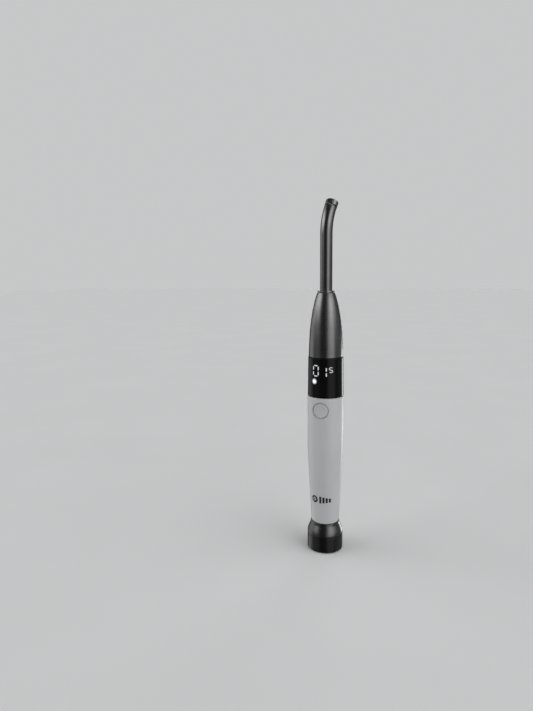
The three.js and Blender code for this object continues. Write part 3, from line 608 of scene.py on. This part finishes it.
def bar(start, end, half_width, radius_of, pointed=True, count=8):
    """A straight stroke from start to end, (azimuth, height) each, with mitred or blunt ends."""
    (a0, h0), (a1, h1) = start, end
    scale = math.radians(1) * radius_of(h0)
    length = math.hypot((a1 - a0) * scale, h1 - h0)
    tip, least_width = 0.02, 0.03
    shaft = steps(half_width, length - half_width, count)
    stroke = []
    for along in [tip] + shaft + [length - tip]:
        t = along / length
        width = min(half_width, along, length - along) if pointed else half_width
        stroke.append((lerp(a0, a1, t), lerp(h0, h1, t), max(width, least_width)))
    return stroke


def arc(centre, radius, start_deg, end_deg, half_width, radius_of, count=18, squash=1.0):
    """A round stroke about centre, (azimuth, height), squashed in height."""
    azimuth, height = centre
    per_mm = 1 / (math.radians(1) * radius_of(height))
    stroke = []
    for turn in (math.radians(t) for t in steps(start_deg, end_deg, count)):
        stroke.append((
            azimuth + radius * math.cos(turn) * per_mm,
            height + radius * squash * math.sin(turn),
            half_width,
        ))
    return stroke


DIGIT_WIDTH, DIGIT_HEIGHT, SEGMENT_HALF = 4.75, 8.0, 0.42
DIGIT_Z = BAND_LOW + 19.0
SEGMENTS = {"0": "abcdef", "1": "bc"}


def digit_strokes(character, azimuth, middle):
    """The lit segments of a seven-segment digit, with its middle at this azimuth and height on the band."""
    per_mm = 1 / (math.radians(1) * band_radius(middle))
    right = (DIGIT_WIDTH / 2 - SEGMENT_HALF) * per_mm
    top = DIGIT_HEIGHT / 2 - SEGMENT_HALF
    nick = 0.45  # half the gap between two segments
    corners = {
        "a": ((-right, top), (right, top)),
        "b": ((right, 0), (right, top)),
        "c": ((right, -top), (right, 0)),
        "d": ((-right, -top), (right, -top)),
        "e": ((-right, -top), (-right, 0)),
        "f": ((-right, 0), (-right, top)),
    }
    strokes = []
    for segment in SEGMENTS[character]:
        (a0, h0), (a1, h1) = corners[segment]
        flat = h0 == h1
        shift = (nick * per_mm, 0) if flat else (0, nick)
        start = (azimuth + a0 + shift[0], middle + h0 + shift[1])
        end = (azimuth + a1 - shift[0], middle + h1 - shift[1])
        strokes.append(bar(start, end, SEGMENT_HALF, band_radius))
    return strokes


def seconds_strokes(azimuth, height):
    """The small sign for seconds: two joined bows."""
    rise, reach, half = 0.87, 1.2, 0.25
    sweep = 235
    upper = arc((azimuth, height + rise), reach, 270 - sweep, 270, half, band_radius, squash=rise / reach)
    lower = arc((azimuth, height - rise), reach, 90, 90 - sweep, half, band_radius, squash=rise / reach)
    return [upper + lower[1:]]


def disc_on(radius_of, azimuth, height, size, proud=0.05, sunk=0.15, spokes=48):
    """A round pad on a round surface, with a softened edge."""
    rows = [
        (0.05, proud), (0.5 * size, proud), (0.85 * size, proud), (0.97 * size, 0.7 * proud),
        (size, 0), (size, -sunk),
    ]
    rings = []
    for radius, level in rows:
        ring = []
        for k in range(spokes):
            turn = 2 * math.pi * k / spokes
            here = height + radius * math.sin(turn)
            angle = math.radians(azimuth) + radius * math.cos(turn) / radius_of(height)
            out = radius_of(here) + level
            ring.append((out * math.sin(angle), -out * math.cos(angle), here))
        rings.append(ring)
    return loft(rings)


MARK_Z = HANDLE_LOW + 18.3
MARK_AZIMUTH = -1
LAMP_OFFSET = -4.6
LAMP_RING = (2.0, 0.72)  # radius and half width
LAMP_DOT = (0.3, 0.34)
FULL_TURN = 366  # a little over, so that a ring's ends overlap
BAR_COUNT = 4
BAR_START, BAR_PITCH = 0.1, 2.3
BAR_HALF_WIDTH = 0.8
BAR_HALF_LENGTH, BAR_SHRINK = 2.6, 0.35


def mark_strokes():
    """A plain printed sign: a lamp seen end on, and four bars that grow shorter."""
    per_mm = 1 / (math.radians(1) * handle_radius(MARK_Z))
    lamp = (MARK_AZIMUTH + LAMP_OFFSET * per_mm, MARK_Z)
    strokes = []
    for (radius, half_width), count in ((LAMP_RING, 60), (LAMP_DOT, 24)):
        strokes.append(arc(lamp, radius, 0, FULL_TURN, half_width, handle_radius, count))
    for k in range(BAR_COUNT):
        azimuth = MARK_AZIMUTH + (BAR_START + BAR_PITCH * k) * per_mm
        half_length = BAR_HALF_LENGTH - BAR_SHRINK * k
        ends = [(azimuth, MARK_Z - half_length), (azimuth, MARK_Z + half_length)]
        strokes.append(bar(*ends, BAR_HALF_WIDTH, handle_radius, pointed=False, count=4))
    return strokes


def build_handle():
    make_piece("handle_skin", handle_shape(), WHITE, "handpiece", ["handle_shell"])
    make_piece("button_cap", button_shape(), BUTTON_WHITE, "power_button", ["power_button"])
    make_piece("printed_mark", strokes_on(handle_radius, mark_strokes(), proud=0.02), INK, "handpiece")


# ---------------------------------------------------------------- display band
ZERO_AZIMUTH = -15.6
ONE_AZIMUTH, ONE_DROP = 10.8, 0.7
SECONDS_AZIMUTH, SECONDS_RISE = 34.8, 0.8
LIGHT_AZIMUTH = -20.5
LIGHT_Z = BAND_LOW + 11.5
LIGHT_RADIUS = 2.3


def build_display():
    middle = (BAND_LOW + BAND_HIGH) / 2
    bore_low, bore_middle, bore_high = 11.25, 11.1, 11.0
    window = rounded([
        (bore_low, BAND_LOW, 0.1),
        (BAND_RADIUS, BAND_LOW, 0.3),
        (band_radius(middle), middle, 0),
        (BAND_TOP_RADIUS, BAND_HIGH, 0.35),
        (bore_high, BAND_HIGH, 0.1),
        (bore_middle, middle, 0),
    ])
    band = lathe(window, SHELL_SIDES)
    make_piece("display_band", band, SMOKED, "handpiece", ["display_window"])
    digits = digit_strokes("0", ZERO_AZIMUTH, DIGIT_Z) + digit_strokes("1", ONE_AZIMUTH, DIGIT_Z - ONE_DROP)
    glow = glowing("digit_glow", (0.93, 0.96, 1.0), 0.6)
    make_piece("timer_digits", strokes_on(band_radius, digits), glow, "handpiece")
    seconds = seconds_strokes(SECONDS_AZIMUTH, DIGIT_Z + SECONDS_RISE)
    make_piece("seconds_sign", strokes_on(band_radius, seconds), glow, "handpiece")
    centre = (
        band_radius(LIGHT_Z) * math.sin(math.radians(LIGHT_AZIMUTH)),
        -band_radius(LIGHT_Z) * math.cos(math.radians(LIGHT_AZIMUTH)),
        LIGHT_Z,
    )
    halo = glowing("lamp_glow", (0.95, 0.97, 1.0), 1.3, centre, LIGHT_RADIUS)
    make_piece("mode_light", disc_on(band_radius, LIGHT_AZIMUTH, LIGHT_Z, LIGHT_RADIUS), halo, "handpiece")


# ---------------------------------------------------------------- nose
def build_nose():
    rows = 48
    reach = NOSE_HIGH - 0.5 - NOSE_STEP
    heights = [NOSE_STEP + reach * math.sin(math.pi / 2 * i / rows) for i in range(1, rows + 1)]
    spigot_bore, spigot_radius = 9.5, 10.6
    ledge = NOSE_HIGH - 4.6
    casing = rounded([
        (spigot_bore, NOSE_LOW, 0.1),
        (spigot_radius, NOSE_LOW, 0.1),
        (spigot_radius, NOSE_STEP, 0),
        (NOSE_RADIUS, NOSE_STEP, 0.3),
        *outline(nose_radius, heights),
        (nose_radius(NOSE_HIGH), NOSE_HIGH, 0.55),
        (SOCKET_RADIUS, NOSE_HIGH, 0.12),
        (SOCKET_RADIUS, ledge, 0),
        (SOCKET_RADIUS + 0.9, ledge, 0),
        (SOCKET_RADIUS + 2.1, ledge - 6, 0),
        (spigot_bore, ledge - 20, 0),
    ])
    make_piece("nose_casing", lathe(casing, SHELL_SIDES), GUNMETAL, "handpiece", ["nose_shell"])


# ---------------------------------------------------------------- light guide
GUIDE_RADIUS = 4.25
GUIDE_BORE = 3.85
CORE_RADIUS = 3.55
BEND_START = NOSE_HIGH + 39.4
BEND_RADIUS = 38
BEND = math.radians(29)
LEAN_AZIMUTH = math.radians(18)
COLLAR_LENGTH = 3.7
COLLAR_RADIUS = 4.4
TUBE_FOOT = NOSE_HIGH - 5.1


def guide_frame(distance):
    """Centre and two cross directions of the guide, at a distance along it from the start of its bend."""
    turned = min(max(distance / BEND_RADIUS, 0), BEND)
    beyond = max(distance - BEND_RADIUS * BEND, 0)
    rise = BEND_START + min(distance, 0) + BEND_RADIUS * math.sin(turned) + beyond * math.cos(BEND)
    lean = BEND_RADIUS * (1 - math.cos(turned)) + beyond * math.sin(BEND)
    back = Vector((math.sin(LEAN_AZIMUTH), math.cos(LEAN_AZIMUTH), 0))
    side = Vector((math.cos(LEAN_AZIMUTH), -math.sin(LEAN_AZIMUTH), 0))
    centre = back * lean + Vector((0, 0, rise))
    normal = back * math.cos(turned) - Vector((0, 0, math.sin(turned)))
    return centre, side, normal


def guide_ring(distance, radius, sides=96):
    centre, side, normal = guide_frame(distance)
    ring = []
    for k in range(sides):
        angle = 2 * math.pi * k / sides
        ring.append(centre + side * (radius * math.cos(angle)) + normal * (radius * math.sin(angle)))
    return ring


def guide_sleeve(stations):
    """A closed sleeve from (distance, radius) stations that run up the outside and down the bore."""
    return loft([guide_ring(distance, radius) for distance, radius in stations], closed_path=True)


ARC_LENGTH = BEND_RADIUS * BEND
STRAIGHT = steps(TUBE_FOOT - BEND_START, -0.5, 16)  # distances along the guide, below its bend
CURVED = steps(0, ARC_LENGTH - 0.4, 36)
COLLAR_START = ARC_LENGTH + GAP


def build_sheath():
    """The metal tube, with its upper rim turned in a little."""
    outer = [(d, GUIDE_RADIUS) for d in STRAIGHT + CURVED]
    rim = [(ARC_LENGTH - 0.15, GUIDE_RADIUS - 0.06), (ARC_LENGTH, GUIDE_RADIUS - 0.2)]
    bore = [(d, GUIDE_BORE) for d in [ARC_LENGTH] + CURVED[::-1] + STRAIGHT[::-1]]
    tube = guide_sleeve(outer + rim + bore)
    make_piece("guide_sheath", tube, TUBE_METAL, "light_guide", ["guide_tube"])


def build_tip():
    """The collar round the guide's end."""
    collar = rounded([
        (GUIDE_BORE, 0, 0.05),
        (COLLAR_RADIUS, 0, 0.2),
        (COLLAR_RADIUS, COLLAR_LENGTH, 0.45),
        (GUIDE_BORE, COLLAR_LENGTH, 0.15),
    ], arc_steps=6, hold=0.15)
    ring = guide_sleeve([(COLLAR_START + along, radius) for radius, along in collar])
    make_piece("tip_ring", ring, BLACK_CHROME, "light_guide", ["tip_collar"])


def build_rod():
    """The fibre rod, from the ferrule's foot to just inside the collar."""
    end = COLLAR_START + COLLAR_LENGTH - 0.3
    low = FERRULE_LOW - BEND_START
    stations = [(d, CORE_RADIUS) for d in [low] + STRAIGHT + CURVED + [ARC_LENGTH + 1, end - 0.15]]
    stations += [(end - 0.04, CORE_RADIUS - 0.05), (end, CORE_RADIUS - 0.2)]
    stations += [(end, CORE_RADIUS * 0.5), (end, 0.05)]
    rod = loft([guide_ring(d, r, sides=64) for d, r in stations])
    make_piece("fibre_rod", rod, FIBRE, "light_guide", ["guide_core"])


def build_ferrule():
    """The plug at the guide's foot: a grooved barrel under a flange."""
    flange = FERRULE_HIGH - 1
    body_radius, flange_radius, tube_bore, core_bore, groove_radius = 4.95, 5.85, 4.4, 3.8, 4.35
    groove_low, groove_high = FERRULE_LOW + 3.4, FERRULE_LOW + 5.4
    seat = TUBE_FOOT - GAP
    ferrule = rounded([
        (core_bore, FERRULE_LOW, 0.1),
        (body_radius, FERRULE_LOW, 0.4),
        (body_radius, groove_low, 0.1),
        (groove_radius, groove_low, 0.1),
        (groove_radius, groove_high, 0.1),
        (body_radius, groove_high, 0.1),
        (body_radius, flange, 0.05),
        (flange_radius, flange, 0.12),
        (flange_radius, FERRULE_HIGH, 0.3),
        (tube_bore, FERRULE_HIGH, 0.08),
        (tube_bore, seat, 0),
        (core_bore, seat, 0),
    ], hold=0.15)
    collet = lathe(ferrule, sides=128)
    make_piece("guide_collet", collet, BLACK_CHROME, "light_guide", ["guide_ferrule"])


# ---------------------------------------------------------------- tail
def build_tail():
    """The tail plug, with its contact ring and pin let into its end."""
    contact_low, _, contact_radius = extent("contact_ring")
    seat, floor = contact_low + 1.5, contact_low + 3.55
    groove_low, groove_high = TAIL_HIGH - 7, TAIL_HIGH - 4.6
    stud_bore, hub_radius, ring_bore, groove_radius, plug_bore = 1.9, 3.9, 6.7, 7.6, 6.6
    plug = rounded([
        (stud_bore, TAIL_LOW, 0.1),
        (hub_radius, TAIL_LOW, 0.15),
        (hub_radius, seat, 0),
        (ring_bore, seat, 0),
        (ring_bore, TAIL_LOW, 0.15),
        (TAIL_RADIUS, TAIL_LOW, 0.8),
        (TAIL_RADIUS, groove_low, 0.1),
        (groove_radius, groove_low, 0),
        (groove_radius, groove_high, 0),
        (TAIL_RADIUS, groove_high, 0.1),
        (TAIL_RADIUS, TAIL_HIGH, 0.1),
        (plug_bore, TAIL_HIGH, 0.1),
        (plug_bore, floor, 0),
        (stud_bore, floor, 0),
    ])
    make_piece("tail_moulding", lathe(plug), DARK_MOULDING, "handpiece", ["tail_plug"])
    band_bore, band_top = 4.2, contact_low + 1.2
    band = rounded([
        (band_bore, contact_low, 0.15),
        (contact_radius, contact_low, 0.15),
        (contact_radius, band_top, 0),
        (band_bore, band_top, 0),
    ], hold=0.1)
    make_piece("contact_band", lathe(band, sides=96), GOLD, "handpiece", ["contact_ring"])
    stud_radius, stud_top = 1.6, floor + 0.7
    stud = rounded([
        (0, contact_low, 0),
        (stud_radius, contact_low, 0.4),
        (stud_radius, stud_top, 0.1),
        (0, stud_top, 0),
    ], hold=0.1)
    make_piece("contact_stud", lathe(stud, sides=48), GOLD, "handpiece", ["contact_pin"])


# ---------------------------------------------------------------- dock
DOCK_LIP = DOCK_WALL_TOP + GAP
NECK_HEIGHT = COLLAR_HIGH - 1.55  # the shoulder ends here and the upright neck begins
NECK_RADIUS = 10.45
SHELL_BORE = DOCK_RADIUS - 1.2
SPIGOT = SHELL_BORE - 0.3
PORT_LOW, PORT_HIGH = 3.7, 6.6
PORT_Z = (PORT_LOW + PORT_HIGH) / 2
PORT_HALF_HEIGHT = (PORT_HIGH - PORT_LOW) / 2
PORT_HALF_WIDTH = 4.3
PORT_BACK, PORT_FACE = 4.2, 12
PORT_WALL = 0.45


def shoulder(count):
    """Corners of the collar's shoulder: it rounds over from the lip and sweeps in to the neck."""
    low, high = DOCK_LIP + 1.1, NECK_HEIGHT
    bezier = (
        (DOCK_RADIUS, low),
        (DOCK_RADIUS, low + 1.3),
        (NECK_RADIUS + 1.15, high - 3),
        (NECK_RADIUS, high),
    )
    corners = []
    for t in steps(0, 1, count):
        weights = ((1 - t) ** 3, 3 * t * (1 - t) ** 2, 3 * t * t * (1 - t), t ** 3)
        radius, height = (sum(w * p[i] for w, p in zip(weights, bezier)) for i in (0, 1))
        corners.append((radius, height, 0))
    return corners


def build_dock_wall():
    """The upright wall, with the hole for the port in its back."""
    wall = rounded([
        (SHELL_BORE, DOCK_LOW, 0.1),
        (DOCK_RADIUS, DOCK_LOW, 0.35),
        (DOCK_RADIUS, DOCK_WALL_TOP, 0.2),
        (SHELL_BORE, DOCK_WALL_TOP, 0.1),
    ])
    tube = lathe(wall, SHELL_SIDES)
    shell = make_piece("dock_wall", tube, DARK_METAL, "dock", ["dock_shell"])
    hole = (PORT_HALF_WIDTH + 0.35, PORT_HALF_HEIGHT + 0.28)
    cut_away(shell, slot_prism(*hole, corner=1.3, y0=9, y1=14, z=PORT_Z))


def build_dock_shoulder():
    """The metal collar over the wall, open at the top for the handpiece's tail."""
    spigot_foot = 10.6
    spigot_bore = SPIGOT - 0.6
    mouth_radius = TAIL_RADIUS + 0.4
    cup_clearance = 0.3
    collar = rounded([
        (spigot_bore, spigot_foot, 0),
        (SPIGOT, spigot_foot, 0.1),
        (SPIGOT, DOCK_LIP, 0),
        (DOCK_RADIUS, DOCK_LIP, 0.28),
        *shoulder(24),
        (NECK_RADIUS - 0.1, COLLAR_HIGH, 0.3),
        (mouth_radius, COLLAR_HIGH, 0.3),
        (mouth_radius, CUP_HIGH + cup_clearance, 0),
        (CUP_RADIUS + cup_clearance, CUP_HIGH + cup_clearance, 0),
        (spigot_bore, DOCK_LIP + 4, 0),
    ])
    flare = lathe(collar, SHELL_SIDES)
    # The shoulder's darker gunmetal is painted shade.
    make_piece("dock_shoulder", flare, SHADED_SHOULDER_METAL, "dock", ["dock_collar"])


def build_foot():
    """The rubber foot, with a ring groove in its underside."""
    groove_bore, groove_radius, groove_depth = 8.2, 8.9, 0.35
    foot = rounded([
        (0, FOOT_LOW, 0),
        (4, FOOT_LOW, 0),
        (groove_bore, FOOT_LOW, 0.15),
        (groove_bore, FOOT_LOW + groove_depth, 0.1),
        (groove_radius, FOOT_LOW + groove_depth, 0.1),
        (groove_radius, FOOT_LOW, 0.15),
        (FOOT_RADIUS, FOOT_LOW, 0.35),
        (FOOT_RADIUS, FOOT_HIGH, 0.1),
        (0, FOOT_HIGH, 0),
    ], arc_steps=4, hold=0.1)
    make_piece("foot_pad", lathe(foot, sides=128), RUBBER, "dock", ["rubber_foot"])


def build_port():
    """The charging port: a steel can, hollow from its face, round a flat tongue."""
    can = slot_prism(PORT_HALF_WIDTH, PORT_HALF_HEIGHT, corner=1.2, y0=PORT_BACK, y1=PORT_FACE, z=PORT_Z)
    port = make_piece("port_shell", can, STEEL, "dock", ["charge_port"])
    hollow = (PORT_HALF_WIDTH - PORT_WALL, PORT_HALF_HEIGHT - PORT_WALL)
    cut_away(port, slot_prism(*hollow, corner=0.9, y0=PORT_BACK + 1.2, y1=PORT_FACE + 1, z=PORT_Z))
    half_width, half_thickness = 2.9, 0.3
    tongue = block(
        (-half_width, PORT_BACK + 1, PORT_Z - half_thickness),
        (half_width, PORT_FACE - 1.1, PORT_Z + half_thickness),
    )
    make_piece("port_tongue", tongue, DARK_MOULDING, "dock")


# ---------------------------------------------------------------- hidden nodes keep their CAD shape
CARRIED = {
    "switch_body": CHIP_EPOXY, "switch_plunger": WHITE, "main_board": CIRCUIT, "control_chip": CHIP_EPOXY,
    "buzzer": DARK_MOULDING, "chassis": DARK_MOULDING, "battery_cell": CELL_WRAP, "battery_spring": STEEL,
    "battery_plate": STEEL, "battery_contact": STEEL, "tail_o_ring": RUBBER,
    "display_frame": DARK_MOULDING, "display_board": CIRCUIT, "display_module": SMOKED,
    "mode_lamp": LENS_PLASTIC, "heat_sink": ALUMINIUM, "led_board": ALUMINIUM,
    "led_emitter": EMITTER_PHOSPHOR, "lens_holder": DARK_MOULDING, "collimator_lens": LENS_PLASTIC,
    "guide_socket": STEEL, "guide_o_ring": RUBBER,
    "dock_cup": DARK_MOULDING, "dock_board": CIRCUIT, "dock_weight": STEEL, "bottom_plate": DARK_MOULDING,
    "dock_screw_1": STEEL, "dock_screw_2": STEEL, "dock_screw_3": STEEL,
    "pin_barrel_centre": GOLD, "pin_barrel_side": GOLD, "charge_pin_centre": GOLD, "charge_pin_side": GOLD,
}


def finish_carried_nodes():
    """Gives each CAD node that stays its material."""
    for name, material in CARRIED.items():
        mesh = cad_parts[name].data
        mesh.materials.clear()
        mesh.materials.append(material)


# ---------------------------------------------------------------- stage, lights and camera
CAMERA_AZIMUTH = 18  # degrees round from the front, towards +X
CAMERA_DISTANCE = 375.8
CAMERA_HEIGHT = 200.45
CAMERA_PITCH = 8.705
CAMERA_YAW = 6.38  # the light stands right of the picture's middle
CAMERA_ROLL = -0.7
LENS = 27.19
BACKDROP = 0.58

# Soft lights round the object: azimuth from the camera, half width and edge softness in degrees, then the
# sines of elevation between which each one comes up and between which it ends, and its brightness.
LIGHTS = [
    (-81, 25, 13, (0.0, 0.42), (0.46, 0.7), 3.1),
    (-113, 18, 13, (-0.9, -0.5), (0.46, 0.7), 0.9),
    (-62, 18, 12, (-0.9, -0.5), (0.46, 0.7), 0.25),
    (38, 19, 15, (-0.5, -0.28), (0.4, 0.7), 1.3),
    (58, 25, 14, (-0.03, 0.36), (0.46, 0.7), 1.8),
    (100, 22, 14, (-0.9, -0.5), (0.46, 0.7), 0.25),
    (139, 9, 5, (-0.46, -0.28), (-0.16, -0.08), 5.5),
    (165, 12, 8, (-0.3, 0.1), (0.6, 0.9), 1.0),
    (75, 40, 25, (0.64, 0.78), (0.86, 0.98), 2.05),
]
OVERHEAD = 1.35
OVERHEAD_EDGE = (0.86, 0.97)  # sines of elevation between which it comes up
AMBIENT = 0.08


def around(azimuth, distance, height):
    """A point round the light, azimuth degrees from the camera's own direction, in metres."""
    angle = math.radians(CAMERA_AZIMUTH + azimuth)
    return Vector((math.sin(angle) * distance, -math.cos(angle) * distance, height))


def build_world():
    """Soft studio lights as bright patches of the world, in front of a plain backdrop."""
    world = bpy.data.worlds.new("studio")
    world.use_nodes = True
    bpy.context.scene.world = world
    nodes, links = world.node_tree.nodes, world.node_tree.links

    def math_node(operation, first, second):
        node = nodes.new("ShaderNodeMath")
        node.operation = operation
        for slot, value in enumerate((first, second)):
            if isinstance(value, (int, float)):
                node.inputs[slot].default_value = value
            else:
                links.new(value, node.inputs[slot])
        return node.outputs["Value"]

    def smooth(value, low, high):
        node = nodes.new("ShaderNodeMapRange")
        node.interpolation_type = "SMOOTHSTEP"
        node.inputs["From Min"].default_value = low
        node.inputs["From Max"].default_value = high
        links.new(value, node.inputs["Value"])
        return node.outputs["Result"]

    place = nodes.new("ShaderNodeTexCoord")
    split = nodes.new("ShaderNodeSeparateXYZ")
    links.new(place.outputs["Generated"], split.inputs["Vector"])
    flat = nodes.new("ShaderNodeVectorMath")
    flat.operation = "MULTIPLY"
    flat.inputs[1].default_value = (1, 1, 0)
    links.new(place.outputs["Generated"], flat.inputs[0])
    level = nodes.new("ShaderNodeVectorMath")
    level.operation = "NORMALIZE"
    links.new(flat.outputs["Vector"], level.inputs[0])
    sine = split.outputs["Z"]
    total = math_node("MULTIPLY", smooth(sine, *OVERHEAD_EDGE), OVERHEAD)
    total = math_node("ADD", total, AMBIENT)
    for azimuth, half, soft, rise, fall, strength in LIGHTS:
        toward = nodes.new("ShaderNodeVectorMath")
        toward.operation = "DOT_PRODUCT"
        toward.inputs[1].default_value = around(azimuth, 1, 0)
        links.new(level.outputs["Vector"], toward.inputs[0])
        edge = [math.cos(math.radians(half + side * soft)) for side in (1, -1)]
        across = smooth(toward.outputs["Value"], *edge)
        up = math_node("MULTIPLY", smooth(sine, *rise), smooth(sine, *fall[::-1]))
        patch = math_node("MULTIPLY", across, up)
        total = math_node("ADD", math_node("MULTIPLY", patch, strength), total)
    seen = nodes.new("ShaderNodeLightPath")
    plain = nodes.new("ShaderNodeMix")
    plain.data_type = "FLOAT"
    links.new(seen.outputs["Is Camera Ray"], plain.inputs["Factor"])
    links.new(total, plain.inputs["A"])
    plain.inputs["B"].default_value = BACKDROP
    links.new(plain.outputs["Result"], nodes["Background"].inputs["Strength"])
    nodes["Background"].inputs["Color"].default_value = (0.985, 0.99, 1, 1)


def build_floor():
    """A wide plain floor under the dock."""
    material, nodes, links, shader = new_material("pale_floor")
    dark, light = grey(0.66), grey(0.678)
    tone = tint(nodes, links, spread(nodes, links, noise(nodes, links, scale=8, detail=3), 0, 1), dark, light)
    links.new(tone, shader.inputs["Base Color"])
    shader.inputs["Roughness"].default_value = 0.8
    shader.inputs["Specular IOR Level"].default_value = 0
    mesh = bpy.data.meshes.new("floor")
    size = 6  # metres from the middle to each side
    corners = [(-size, -size, 0), (size, -size, 0), (size, size, 0), (-size, size, 0)]
    mesh.from_pydata(corners, [], [(0, 1, 2, 3)])
    mesh.materials.append(material)
    floor = bpy.data.objects.new("floor", mesh)
    bpy.context.scene.collection.objects.link(floor)
    floor.visible_glossy = False


def place_camera():
    """The camera, a little above the object's middle and looking slightly down."""
    data = bpy.data.cameras.new("camera")
    data.lens = LENS
    data.sensor_width = 36
    data.clip_start = 0.01
    camera = bpy.data.objects.new("camera", data)
    bpy.context.scene.collection.objects.link(camera)
    heading = math.radians(CAMERA_AZIMUTH + CAMERA_YAW)
    turn = Matrix.Rotation(heading, 4, "Z")
    tip = Matrix.Rotation(math.radians(90 - CAMERA_PITCH), 4, "X")
    roll = Matrix.Rotation(math.radians(CAMERA_ROLL), 4, "Z")
    spot = around(0, CAMERA_DISTANCE * MM, CAMERA_HEIGHT * MM)
    camera.matrix_world = Matrix.Translation(spot) @ turn @ tip @ roll
    bpy.context.scene.camera = camera


place_camera()
build_handle()
build_display()
build_nose()
build_sheath()
build_tip()
build_rod()
build_ferrule()
build_tail()
build_dock_wall()
build_dock_shoulder()
build_foot()
build_port()
finish_carried_nodes()
build_world()
build_floor()
bpy.context.scene.view_settings.view_transform = "Standard"
